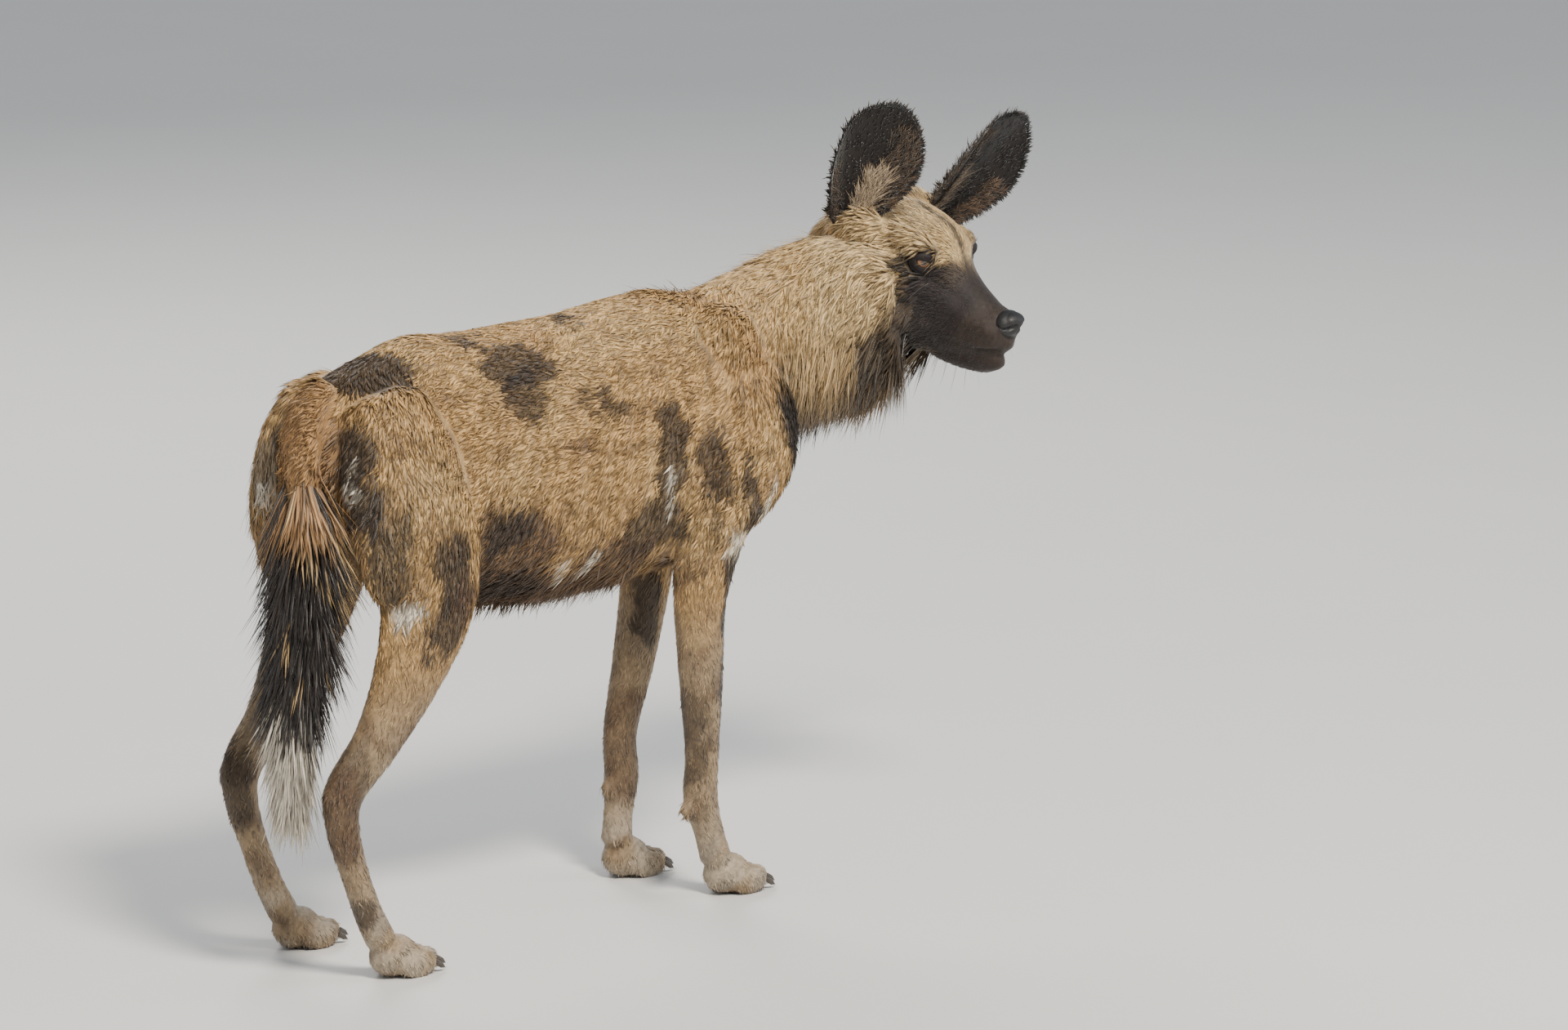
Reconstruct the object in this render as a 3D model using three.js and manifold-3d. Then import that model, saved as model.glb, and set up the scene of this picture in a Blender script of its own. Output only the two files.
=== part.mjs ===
// African wild dog, standing with its head turned to its right, as a life-size still model.
// Millimetres, +Z up. The dog faces +X and its left side is +Y. The origin is on the floor,
// under the middle of the bounding box.
import * as THREE from "three";
import { mergeVertices } from "three/addons/utils/BufferGeometryUtils.js";
import Module from "manifold-3d";

const wasm = await Module();
wasm.setup();

// Driving dimensions
const gap = 0.35; // between neighbouring pieces
const floorShift = [-156.8, 46.3, 0]; // puts the origin under the middle of the box
const bellyHeight = 340;
const backHeight = 640;
const earLength = 158;
const earWidth = 112;
const earThickness = 4.2;
const eyeRadius = 11;
const head = { at: [518, -46, 648], yaw: -80, pitch: -15, size: 1.06 };

// Small helpers
const vec = (p) => new THREE.Vector3(...p);
const radians = THREE.MathUtils.degToRad;

function randomSource(seed) {
  let state = seed;
  return () => {
    state = (state * 1664525 + 1013904223) % 4294967296;
    return state / 4294967296;
  };
}

function meshOf(geometry) {
  const plain = geometry.clone();
  plain.deleteAttribute("normal");
  plain.deleteAttribute("uv");
  const merged = mergeVertices(plain, 1e-3);
  return new wasm.Mesh({
    numProp: 3,
    vertProperties: merged.attributes.position.array,
    triVerts: new Uint32Array(merged.index.array),
  });
}

function solidFrom(geometry) {
  const made = new wasm.Manifold(meshOf(geometry));
  if (made.volume() < 0) throw new Error("a solid is inside out");
  return made;
}

const join = (solids) => solids.reduce((sum, s) => sum.add(s));

function largest(solid) {
  return solid.decompose().sort((a, b) => b.volume() - a.volume())[0];
}

// A row of values read smoothly at any share t of its length
function smoothRow(rows, t) {
  const place = t * (rows.length - 1);
  const i = Math.min(Math.floor(place), rows.length - 2);
  const f = place - i;
  const [a, b] = [rows[Math.max(i - 1, 0)], rows[i]];
  const [c, d] = [rows[i + 1], rows[Math.min(i + 2, rows.length - 1)]];
  return b.map((v, k) => {
    const rise = c[k] - a[k];
    const next = d[k] - b[k];
    const step = c[k] - b[k];
    const square = 3 * step - rise - 0.5 * next;
    const cube = -2 * step + 0.5 * (rise + next);
    return v + 0.5 * rise * f + square * f * f + cube * f * f * f;
  });
}

// A closed body swept through stations [x, y, z, side, front, back, pear]: half sizes across,
// towards the front reference and away from it. A positive pear makes the back half wider.
class Sweep {
  constructor(stations, front, around, along) {
    Object.assign(this, { stations, front: vec(front), around, along });
  }

  frame(t) {
    const row = smoothRow(this.stations, t);
    const a = smoothRow(this.stations, Math.max(t - 0.02, 0));
    const b = smoothRow(this.stations, Math.min(t + 0.02, 1));
    const tangent = new THREE.Vector3(b[0] - a[0], b[1] - a[1], b[2] - a[2]).normalize();
    const side = new THREE.Vector3().crossVectors(this.front, tangent).normalize();
    const up = new THREE.Vector3().crossVectors(tangent, side).normalize();
    return { centre: new THREE.Vector3(row[0], row[1], row[2]), side, up, tangent, row };
  }

  point(t, angle, grow = 0) {
    const { centre, side, up, row } = this.frame(t);
    const [across, front, back, pear] = row.slice(3);
    const s = Math.sin(angle);
    const width = (Math.max(across, 0.5) + grow) * (1 - (pear || 0) * s);
    const height = (s > 0 ? Math.max(front, 0.5) : Math.max(back, 0.5)) + grow;
    return centre.clone().addScaledVector(side, Math.cos(angle) * width).addScaledVector(up, s * height);
  }

  solid(grow = 0) {
    const tube = new THREE.CylinderGeometry(1, 1, 1, this.around, this.along, false);
    const place = tube.getAttribute("position");
    for (let i = 0; i < place.count; i++) {
      const t = THREE.MathUtils.clamp(place.getY(i) + 0.5, 0, 1);
      const onAxis = Math.hypot(place.getX(i), place.getZ(i)) < 0.5;
      const angle = Math.atan2(-place.getZ(i), place.getX(i));
      const { centre, tangent } = this.frame(t);
      const p = onAxis ? centre : this.point(t, angle, grow);
      const beyond = t < 1e-6 ? -grow : t > 1 - 1e-6 ? grow : 0; // the end caps move out too
      p.addScaledVector(tangent, beyond);
      place.setXYZ(i, p.x, p.y, p.z);
    }
    return solidFrom(tube);
  }
}

// What a neighbour has to keep out of: the piece itself and the gap on every side of it
function clearance(piece) {
  const moves = [[gap, 0, 0], [-gap, 0, 0], [0, gap, 0], [0, -gap, 0], [0, 0, -gap]];
  return join([piece, ...moves.map((m) => piece.translate(m))]);
}

function ball(centre, radii, around = 10, high = 7) {
  const g = new THREE.SphereGeometry(1, around, high);
  g.scale(...radii).translate(...centre);
  return solidFrom(g);
}

// A round cord through points, closed at both ends
function cord(points, radius, sides, steps) {
  const outline = new THREE.Shape();
  outline.absarc(0, 0, radius, 0, 2 * Math.PI);
  const g = new THREE.ExtrudeGeometry(outline, {
    steps,
    curveSegments: sides / 2,
    extrudePath: new THREE.CatmullRomCurve3(points),
  });
  return solidFrom(g);
}

// A thin plate that parts two pieces: at a point, square to a direction
function plate(at, direction, size, thickness = gap) {
  const g = new THREE.BoxGeometry(size, size, thickness);
  const turn = new THREE.Quaternion();
  turn.setFromUnitVectors(new THREE.Vector3(0, 0, 1), vec(direction).normalize());
  g.applyQuaternion(turn);
  g.translate(...at);
  return solidFrom(g);
}

// A flat tapered lock of hair that leaves a root, bends towards a fall direction and ends in a point
function lock(root, out, fall, length, width, thickness) {
  const g = new THREE.CylinderGeometry(1, 1, 1, 4, 3, false);
  const place = g.getAttribute("position");
  const flat = new THREE.Vector3().crossVectors(out, fall).normalize();
  for (let i = 0; i < place.count; i++) {
    const t = place.getY(i) + 0.5;
    const lean = out.clone().lerp(fall, Math.min(1, 0.35 + 0.9 * t)).normalize();
    const centre = root.clone().addScaledVector(lean, t * length);
    const taper = Math.max(0.06, (1 - t * t) * (0.75 + 0.5 * t));
    const face = new THREE.Vector3().crossVectors(lean, flat).normalize();
    centre.addScaledVector(flat, place.getX(i) * width * taper);
    centre.addScaledVector(face, place.getZ(i) * thickness * taper);
    place.setXYZ(i, centre.x, centre.y, centre.z);
  }
  const solid = new wasm.Manifold(meshOf(g));
  if (solid.volume() > 0) return solid;
  g.index.array.reverse();
  return new wasm.Manifold(meshOf(g));
}

// Torso: stations from the rump to the front of the chest
const torso = new Sweep(
  [
    [-302, 0, 525, 26, 26, 40, 0],
    [-284, 0, 525, 54, 56, 76, 0],
    [-240, 0, 522, 76, 98, 110, 0.1],
    [-170, 0, 510, 84, 134, 122, 0.1],
    [-90, 0, 498, 90, 142, 142, 0],
    [0, 0, 490, 100, backHeight - 490, 490 - bellyHeight, 0.04],
    [90, 0, 490, 106, 152, 151, 0.05],
    [170, 0, 500, 100, 150, 156, 0.02],
    [240, 0, 510, 90, 140, 158, 0.02],
    [300, 0, 522, 80, 112, 138, 0.02],
    [345, 0, 520, 50, 62, 90, 0],
    [356, 0, 516, 20, 25, 40, 0],
  ],
  [0, 0, 1],
  20,
  20,
);

// Neck: from inside the shoulders up and round to the back of the skull
const neck = new Sweep(
  [
    [232, 0, 545, 76, 92, 112, 0.05],
    [290, 0, 562, 76, 86, 106, 0.05],
    [352, -4, 584, 71, 78, 98, 0.05],
    [412, -18, 606, 68, 76, 98, 0.05],
    [464, -43, 624, 66, 70, 106, 0.05],
    [504, -78, 630, 58, 56, 104, 0],
  ],
  [0, 0, 1],
  18,
  11,
);

// Legs: stations down the limb, half sizes across the body, forwards and backwards
function hindLeg(s, forward) {
  return new Sweep(
    [
      [-220, s * 40, 596, 26, 42, 40, 0],
      [-218, s * 58, 548, 40, 74, 66, 0],
      [-212, s * 70, 490, 44, 82, 78, 0],
      [-203, s * 80, 430, 41, 76, 76, 0],
      [-204, s * 85, 375, 35, 64, 54, 0],
      [-232 + forward * 0.4, s * 86, 312, 28, 50, 38, 0],
      [-270 + forward * 0.7, s * 85, 252, 22, 35, 27, 0],
      [-309 + forward, s * 83, 204, 20, 26, 27, 0],
      [-313 + forward, s * 82, 166, 17, 23, 21, 0],
      [-298 + forward, s * 81, 118, 16, 20, 17, 0],
      [-278 + forward, s * 80, 70, 17, 20, 17, 0],
      [-257 + forward, s * 79, 34, 20, 21, 18, 0],
    ],
    [1, 0, 0],
    10,
    15,
  );
}

function foreLeg(s, top, wrist, foot) {
  return new Sweep(
    [
      [262, s * 42, 585, 22, 44, 44, 0],
      [278, s * 60, 530, 34, 62, 58, 0],
      [272, s * 71, 475, 38, 62, 72, 0],
      [top + 36, s * 75, 425, 37, 52, 64, 0],
      [top + 18, s * 76, 375, 32, 38, 44, 0],
      [top + 8, s * 74, 320, 28, 34, 31, 0],
      [(top + wrist) / 2 + 4, s * 71, 235, 24, 30, 25, 0],
      [wrist, s * 69, 160, 20, 24, 20, 0],
      [wrist, s * 67, 112, 20, 24, 21, 0],
      [(wrist + foot) / 2, s * 66, 72, 18, 20, 19, 0],
      [foot, s * 65, 34, 21, 21, 19, 0],
    ],
    [1, 0, 0],
    10,
    14,
  );
}

// Paw: a low palm, four toes and a sole flat on the floor
const toeSpread = [-21, -7.5, 7.5, 21];
const toeReach = [27, 40, 40, 27];
function paw(x, y) {
  const parts = [ball([x, y, 27], [30, 25, 24], 10, 6)];
  toeSpread.forEach((side, i) => {
    parts.push(ball([x + toeReach[i] - 7, y + side, 17], [22, 9.5, 16], 8, 4));
  });
  const below = new THREE.BoxGeometry(220, 120, 60);
  below.translate(x, y, -30);
  const sunk = join(parts).translate([0, 0, -3]);
  return sunk.subtract(solidFrom(below));
}

function clawSolid(x, y, z) {
  const g = new THREE.SphereGeometry(1, 6, 4);
  g.scale(12, 2.6, 3.4);
  g.rotateY(radians(32));
  g.translate(x, y, z);
  return solidFrom(g);
}

// Head in its own frame: x forwards, y left, z up from the middle of the skull
const headSweep = new Sweep(
  [
    [-92, 0, 0, 28, 20, 34, 0],
    [-78, 0, 0, 48, 34, 56, 0.05],
    [-48, 0, 0, 62, 52, 68, 0.04],
    [-12, 0, 0, 70, 64, 72, 0.08],
    [22, 0, -4, 65, 70, 74, 0.1],
    [50, 0, -12, 55, 65, 68, 0.08],
    [74, 0, -18, 42, 49, 60, 0.08],
    [98, 0, -22, 35, 38, 51, 0.1],
    [122, 0, -24, 30, 29, 42, 0.12],
    [142, 0, -24, 25, 20, 31, 0.08],
    [153, 0, -24, 14, 11, 16, 0],
  ],
  [0, 0, 1],
  18,
  20,
);

function placedInHead(solid) {
  return solid
    .scale(head.size)
    .rotate([0, -head.pitch, 0])
    .rotate([0, 0, head.yaw])
    .translate(head.at);
}

const eyeAt = (s) => [56, s * 38.5, 25];

const earRoot = (s, grow) => ball([-20, s * 46, 36], [34 + grow, 26 + grow, 30 + grow], 10, 7);

function headSolid() {
  const parts = [headSweep.solid()];
  for (const s of [-1, 1]) {
    parts.push(ball([44, s * 37, 37], [26, 15, 11])); // brow
    parts.push(ball([6, s * 42, -22], [52, 28, 30])); // cheek muscle
    parts.push(ball([128, s * 15, -27], [26, 12, 15])); // upper lip pad
    parts.push(earRoot(s, 0));
  }
  parts.push(ball([100, 0, -64], [50, 20, 15])); // lower jaw
  let made = join(parts);
  for (const s of [-1, 1]) {
    const line = [
      [152, s * 3, -39],
      [146, s * 17, -43],
      [128, s * 27.5, -46],
      [104, s * 33, -45],
      [80, s * 40, -41],
      [62, s * 48, -39],
    ];
    made = made.subtract(cord(line.map(vec), 1.8, 4, 10)); // line of the mouth
    const eye = eyeAt(s);
    made = made.subtract(ball(eye, [14.5, 12.5, 9.5]));
    for (const lid of [-1, 1]) {
      const arc = [];
      for (let i = 0; i <= 6; i++) {
        const turn = (Math.PI * i) / 6;
        arc.push(
          vec([
            eye[0] + 15 * Math.cos(turn),
            eye[1] + s * (7.5 * Math.sin(turn) + 1 - 4 * Math.cos(turn)),
            eye[2] + lid * 8.2 * Math.sin(turn) + (lid > 0 ? 0.6 : -0.6),
          ]),
        );
      }
      made = made.add(cord(arc, 3, 4, 7)); // upper and lower lid
    }
    made = made.subtract(ball(eye, [eyeRadius + gap, eyeRadius + gap, eyeRadius + gap], 10, 7));
  }
  return made;
}

// Nose pad with two comma-shaped nostrils
function noseSolid(grow) {
  const pad = join([
    ball([150, 0, -15], [15 + grow, 18 + grow, 15 + grow], 12, 8),
    ball([156, 0, -10], [11 + grow, 13 + grow, 10 + grow], 10, 6),
  ]);
  if (grow) return pad;
  const holes = [-1, 1].map((s) => ball([163, s * 9, -17], [8, 4, 4.2], 8, 6));
  const slits = [-1, 1].map((s) => ball([154, s * 17.5, -19], [9, 3, 2.2], 8, 4));
  return join([pad]).subtract(join([...holes, ...slits]));
}

// Ear: a broad round cup on a narrower root. A square sheet is bent to a disc, then to the ear
function earSolid(turn, splay, lean) {
  const g = new THREE.BoxGeometry(1, 1, 1, 8, 8, 1);
  const place = g.getAttribute("position");
  for (let i = 0; i < place.count; i++) {
    const [p, q] = [place.getX(i) * 2, place.getY(i) * 2];
    const u = p * Math.sqrt(1 - (q * q) / 2);
    const w = q * Math.sqrt(1 - (p * p) / 2);
    const v = (w + 1) / 2;
    const narrow = 1 - 0.36 * THREE.MathUtils.smoothstep(-w, -0.35, 1);
    const arc = 1.35 - 0.75 * v; // how tightly the cup curls, most at the root
    const edge = Math.max(Math.abs(p), Math.abs(q));
    const thick = earThickness * (1 - 0.45 * edge ** 6) * place.getZ(i);
    const wide = (earWidth / 2) * narrow;
    const x = (wide * (1 - Math.cos(u * arc))) / arc + 10 * v * v + thick * Math.cos(u * arc);
    const y = (wide * Math.sin(u * arc)) / arc - thick * Math.sin(u * arc);
    place.setXYZ(i, x, y, earLength * v - 8 * u * u * (1 - v));
  }
  g.rotateZ(radians(turn));
  g.rotateX(radians(splay));
  g.rotateY(radians(lean));
  return solidFrom(g);
}

const earPose = {
  right: { at: [-31, -57, 33], turn: -30, splay: 12, lean: 12 },
  left: { at: [-20, 60, 18], turn: -10, splay: -20, lean: 19 },
};

// Where the legs stand
const stance = {
  hind_right: { s: -1, forward: 0 },
  hind_left: { s: 1, forward: 8 },
  front_right: { s: -1, top: 190, wrist: 205, foot: 232 },
  front_left: { s: 1, top: 254, wrist: 218, foot: 208 },
};

const colours = {
  coat: 0xc79a63,
  dark: 0x2a2624,
  grey: 0x8d7a66,
  white: 0xe4ddd2,
  nose: 0x171616,
  eye: 0x8a4a1c,
  claw: 0x2b2622,
};
const group = new THREE.Group();
function addNode(name, solid, colour) {
  const kept = largest(solid);
  const m = kept.getMesh();
  const place = new Float32Array(m.numVert * 3);
  for (let i = 0; i < m.numVert; i++) {
    place.set(m.vertProperties.subarray(i * m.numProp, i * m.numProp + 3), i * 3);
  }
  const g = new THREE.BufferGeometry();
  g.setAttribute("position", new THREE.BufferAttribute(place, 3));
  g.setIndex(new THREE.BufferAttribute(m.triVerts, 1));
  const material = new THREE.MeshStandardMaterial({ color: colours[colour], metalness: 0 });
  material.roughness = 0.85;
  if (colour === "eye" || colour === "nose") material.roughness = 0.3;
  const mesh = new THREE.Mesh(g, material);
  mesh.name = name;
  group.add(mesh);
  return kept;
}

// Side outline of each leg's region, as seen from the side, used to part it from the torso
const legOutline = {
  hind: [
    [-226, 606], [-168, 585], [-128, 530], [-112, 460], [-108, 390], [-104, 320], [-104, 200],
    [-104, -20], [-440, -20], [-440, 240], [-400, 430], [-350, 480], [-330, 540], [-290, 590],
  ],
  front: [
    [268, 618], [316, 590], [338, 540], [344, 480], [338, 420], [330, 340], [340, 100],
    [340, -20], [110, -20], [120, 250], [150, 345], [172, 400], [190, 470], [208, 550], [232, 600],
  ],
};
const legInner = { hind: 34, front: 36 };

function legRegion(kind, s, grow) {
  const points = legOutline[kind].map((p) => new THREE.Vector2(...p));
  const curve = new THREE.SplineCurve([...points, points[0]]);
  const raw = curve.getPoints(32).slice(0, -1);
  const loop = raw.map((p, i) => {
    const a = raw[(i + raw.length - 1) % raw.length];
    const b = raw[(i + 1) % raw.length];
    const along = new THREE.Vector2().subVectors(b, a).normalize();
    return new THREE.Vector2(p.x - along.y * grow, p.y + along.x * grow);
  });
  const g = new THREE.ExtrudeGeometry(new THREE.Shape(loop), { depth: 200 + grow, bevelEnabled: false });
  g.rotateX(Math.PI / 2); // the side outline now stands in x and z, and runs towards -y
  if (s < 0) g.translate(0, -(legInner[kind] - grow), 0);
  else g.translate(0, 200 + legInner[kind], 0);
  return solidFrom(g);
}

// The whole body without its tail and coat, then its parts
const legSweeps = {};
for (const [name, p] of Object.entries(stance)) {
  const hind = name.startsWith("hind");
  legSweeps[name] = hind ? hindLeg(p.s, p.forward) : foreLeg(p.s, p.top, p.wrist, p.foot);
}
const pawAt = {
  hind_right: [-243, -79],
  hind_left: [-235, 79],
  front_right: [246, -65],
  front_left: [222, 65],
};

let trunk = join([torso.solid(), neck.solid()]);
for (const s of [-1, 1]) {
  trunk = trunk.add(ball([262, s * 44, 548], [78, 38, 84], 16, 10)); // shoulder blade
}
const limbs = {};
for (const name of Object.keys(stance)) {
  limbs[name] = legSweeps[name].solid().add(paw(...pawAt[name]));
  if (name.startsWith("front")) {
    const { s, wrist } = stance[name];
    limbs[name] = limbs[name].add(ball([wrist - 20, s * 67, 100], [9, 9, 10], 12, 8)); // wrist pad
  }
}
const upperLegs = {};
let whole = trunk;
for (const limb of Object.values(limbs)) whole = whole.add(limb);

for (const [name, p] of Object.entries(stance)) {
  const kind = name.startsWith("hind") ? "hind" : "front";
  const inside = legRegion(kind, p.s, 0);
  const around = legRegion(kind, p.s, gap);
  let leg = largest(whole.intersect(inside));
  whole = whole.subtract(around);
  const sweep = legSweeps[name];
  const knee = kind === "hind" ? [-222, p.s * 88, 335] : [p.top + 10, p.s * 75, 350];
  const down = kind === "hind" ? [-0.5, 0, -1] : [0, 0, -1];
  const footTop = sweep.stations[sweep.stations.length - 2];
  leg = leg.subtract(plate(knee, down, 240));
  const slope = kind === "hind" ? 0.3 : 0.1;
  leg = leg.subtract(plate([footTop[0], footTop[1], 66], [slope, 0, -1], 120));
  const pieces = leg.decompose().sort((a, b) => b.volume() - a.volume()).slice(0, 3);
  if (pieces.length < 3) throw new Error(name + " parted into " + pieces.length);
  pieces.sort((a, b) => b.boundingBox().max[2] - a.boundingBox().max[2]);
  const [x, y] = pawAt[name];
  const foot = pieces[2];
  toeSpread.forEach((side, i) => {
    const at = [x + toeReach[i] + 15, y + side * 1.02, 9.5];
    const claw = clawSolid(...at);
    addNode(`claw_${name}_${i + 1}`, claw.subtract(foot).translate([gap, 0, 0]), "claw");
  });
  upperLegs[name] = pieces[0];
  addNode(`upper_leg_${name}`, pieces[0], "coat");
  addNode(`lower_leg_${name}`, pieces[1], "grey");
  addNode(`paw_${name}`, foot, "grey");
}

// Tail: a root, a dark brush and a pale tip, each a slim core under overlapping locks
const tail = new Sweep(
  [
    [-236, 0, 590, 26, 22, 22, 0],
    [-278, -5, 580, 27, 24, 24, 0],
    [-304, -18, 548, 26, 24, 24, 0],
    [-314, -30, 505, 29, 24, 24, 0],
    [-318, -36, 440, 38, 32, 32, 0],
    [-322, -36, 370, 37, 32, 32, 0],
    [-328, -33, 310, 30, 26, 26, 0],
    [-332, -30, 255, 18, 17, 17, 0],
    [-333, -28, 205, 6, 6, 6, 0],
  ],
  [1, 0, 0.2],
  12,
  14,
);
const tailBands = [498, 288]; // heights where the brush and the pale tip begin
const tailRings = { from: 0.33, to: 0.93, count: 5, around: 5, sink: 7, lock: 100, width: 27 };

function tailLocks(random) {
  const locks = [];
  for (let ring = 0; ring < tailRings.count; ring++) {
    const share = ring / (tailRings.count - 1);
    const t = tailRings.from + (tailRings.to - tailRings.from) * share;
    for (let k = 0; k < tailRings.around; k++) {
      const angle = (2 * Math.PI * (k + 0.5 * (ring % 2) + 0.3 * random())) / tailRings.around;
      const centre = tail.frame(t + 0.04 * random()).centre;
      const root = tail.point(t, angle, -tailRings.sink);
      const out = root.clone().sub(centre).setZ(0).normalize();
      const flare = 0.5 - 0.36 * share;
      const fall = new THREE.Vector3(0.02, -0.02, -1).addScaledVector(out, flare * 0.4).normalize();
      const start = new THREE.Vector3(0, 0, -1).addScaledVector(out, flare * 2).normalize();
      const length = tailRings.lock * (0.9 + 0.35 * random());
      locks.push(lock(root, start, fall, length, tailRings.width * (1 - 0.3 * share), 3.6));
    }
  }
  return locks;
}

// Throat ruff: locks that hang from the underside and sides of the neck
const ruffRows = { from: 0.42, to: 0.99, count: 6, around: 5, spread: 62, sink: 9, lock: 46, width: 27 };
function ruffLocks(random) {
  const locks = [];
  for (let row = 0; row < ruffRows.count; row++) {
    const share = row / (ruffRows.count - 1);
    const t = ruffRows.from + (ruffRows.to - ruffRows.from) * share;
    for (let k = 0; k < ruffRows.around; k++) {
      const across = (k + 0.5 * (row % 2) - 0.5 * (ruffRows.around - 1)) / (0.5 * ruffRows.around);
      const angle = -Math.PI / 2 + radians(ruffRows.spread) * across;
      const centre = neck.frame(t).centre;
      const root = neck.point(t, angle, -ruffRows.sink);
      const out = root.clone().sub(centre).normalize();
      const fall = new THREE.Vector3(-0.22, -0.05, -1).addScaledVector(out, 0.35).normalize();
      const start = out.addScaledVector(fall, 0.8).normalize();
      const length = (ruffRows.lock + 26 * (1 - across * across) + 14 * random()) * (1 - 0.42 * share);
      locks.push(lock(root, start, fall, length, ruffRows.width, 3.6));
    }
  }
  return locks;
}

// Head, neck and torso
const neckPlate = { at: [322, 0, 560], direction: [1, 0, 0.22], size: 330 };
const headPlate = { at: [446, -20, 626], direction: [1, -0.3, 0.3], size: 230 };
const beyondHead = (way) => {
  const step = vec(headPlate.direction).normalize().multiplyScalar(way * 200);
  return vec(headPlate.at).add(step).toArray();
};
const skull = placedInHead(headSolid().subtract(noseSolid(gap)));
whole = whole.subtract(plate(neckPlate.at, neckPlate.direction, neckPlate.size));
const front = whole.add(skull).subtract(plate(headPlate.at, headPlate.direction, headPlate.size));
const bodyPieces = front.decompose().sort((a, b) => b.volume() - a.volume()).slice(0, 3);
const torsoPiece = bodyPieces[0];
const reach = (piece) => piece.boundingBox().max[0];
const [headPiece, neckPiece] = bodyPieces.slice(1).sort((a, b) => reach(b) - reach(a));
addNode("torso", torsoPiece, "coat");
const ruff = join(ruffLocks(randomSource(3))).subtract(
  join([
    torso.solid(gap),
    placedInHead(noseSolid(gap)),
    legRegion("front", -1, gap),
    legRegion("front", 1, gap),
    plate(headPlate.at, headPlate.direction, 400),
  ]),
);
const ruffHead = ruff.subtract(plate(beyondHead(-1), headPlate.direction, 400, 400));
const ruffNeck = ruff.subtract(plate(beyondHead(1), headPlate.direction, 400, 400));
addNode("head", headPiece.add(ruffHead), "coat");
addNode("neck", neckPiece.add(ruffNeck), "coat");

const skullGrown = placedInHead(join([headSweep.solid(gap), earRoot(-1, gap), earRoot(1, gap)]));
for (const side of ["right", "left"]) {
  const p = earPose[side];
  const ear = placedInHead(earSolid(p.turn, p.splay, p.lean).translate(p.at));
  addNode(`ear_${side}`, ear.subtract(skullGrown), "dark");
}
addNode("nose", placedInHead(noseSolid(0)), "nose");
for (const [name, s] of [["eye_right", -1], ["eye_left", 1]]) {
  addNode(name, placedInHead(ball(eyeAt(s), [eyeRadius, eyeRadius, eyeRadius], 10, 7)), "eye");
}

// Tail pieces, cut clear of the rump and thighs
let tailWhole = join([tail.solid(), ...tailLocks(randomSource(7))]);
tailWhole = tailWhole.subtract(join([torso.solid(gap), clearance(torsoPiece)]));
for (const name of ["hind_right", "hind_left"]) {
  tailWhole = tailWhole.subtract(clearance(upperLegs[name])).subtract(legSweeps[name].solid(gap));
}
tailWhole = largest(tailWhole);
for (const z of tailBands) tailWhole = tailWhole.subtract(plate([-322, -30, z], [0, 0, 1], 220));
const byHeight = (a, b) => b.boundingBox().max[2] - a.boundingBox().max[2];
const tailPieces = tailWhole.decompose().sort((a, b) => b.volume() - a.volume()).slice(0, 3).sort(byHeight);
addNode("tail_root", tailPieces[0], "coat");
addNode("tail_brush", tailPieces[1], "dark");
addNode("tail_tip", tailPieces[2], "white");

group.position.set(...floorShift);

export default group;
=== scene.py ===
import math

import bmesh
import bpy
import numpy as np
from mathutils import Matrix, Vector


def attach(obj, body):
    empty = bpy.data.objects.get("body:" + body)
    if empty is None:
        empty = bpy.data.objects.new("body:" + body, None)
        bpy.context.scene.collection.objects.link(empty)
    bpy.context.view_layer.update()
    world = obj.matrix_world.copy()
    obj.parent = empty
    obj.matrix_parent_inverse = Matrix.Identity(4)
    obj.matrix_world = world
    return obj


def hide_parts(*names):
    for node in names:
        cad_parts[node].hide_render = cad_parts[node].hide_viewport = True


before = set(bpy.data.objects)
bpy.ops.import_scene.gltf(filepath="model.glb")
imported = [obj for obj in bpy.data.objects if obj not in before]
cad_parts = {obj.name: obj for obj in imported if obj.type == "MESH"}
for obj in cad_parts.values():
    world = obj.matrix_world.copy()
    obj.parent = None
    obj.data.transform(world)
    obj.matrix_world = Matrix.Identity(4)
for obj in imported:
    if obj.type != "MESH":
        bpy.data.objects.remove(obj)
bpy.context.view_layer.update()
chance = np.random.default_rng(11)
floorShift = np.array([-156.8, 46.3, 0.0])  # body frame to scene, in millimetres
fullTurn = 6.2832
lowest = 0.6  # hair stays this far above the floor
print("frame loaded")


# Shared helpers
def unit(v):
    return v / np.maximum(np.linalg.norm(v, axis=-1, keepdims=True), 1e-9)


def smooth(x, low, high):
    t = np.clip((x - low) / (high - low), 0, 1)
    return t * t * (3 - 2 * t)


# Smooth random value near -1..1 at each point, with features about size across
def wave(p, size, seed, count=10):
    source = np.random.default_rng(seed)
    ways = unit(source.normal(size=(count, 3)))
    total = np.zeros(len(p))
    for way, phase, scale in zip(ways, source.random(count) * 6.28, source.uniform(0.7, 1.6, count)):
        total += np.sin(p @ way * (6.28 * scale / size) + phase)
    return total / math.sqrt(count / 2) / 1.6


def rowsAt(rows, t):
    rows = np.asarray(rows, float)
    place = np.clip(t, 0, 1) * (len(rows) - 1)
    i = np.minimum(place.astype(int), len(rows) - 2)
    f = (place - i)[:, None]
    a, b = rows[np.maximum(i - 1, 0)], rows[i]
    c, d = rows[i + 1], rows[np.minimum(i + 2, len(rows) - 1)]
    rise, after, step = c - a, d - b, c - b
    bend, twist = 3 * step - rise - 0.5 * after, 0.5 * (rise + after) - 2 * step
    return b + 0.5 * rise * f + bend * f**2 + twist * f**3


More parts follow.
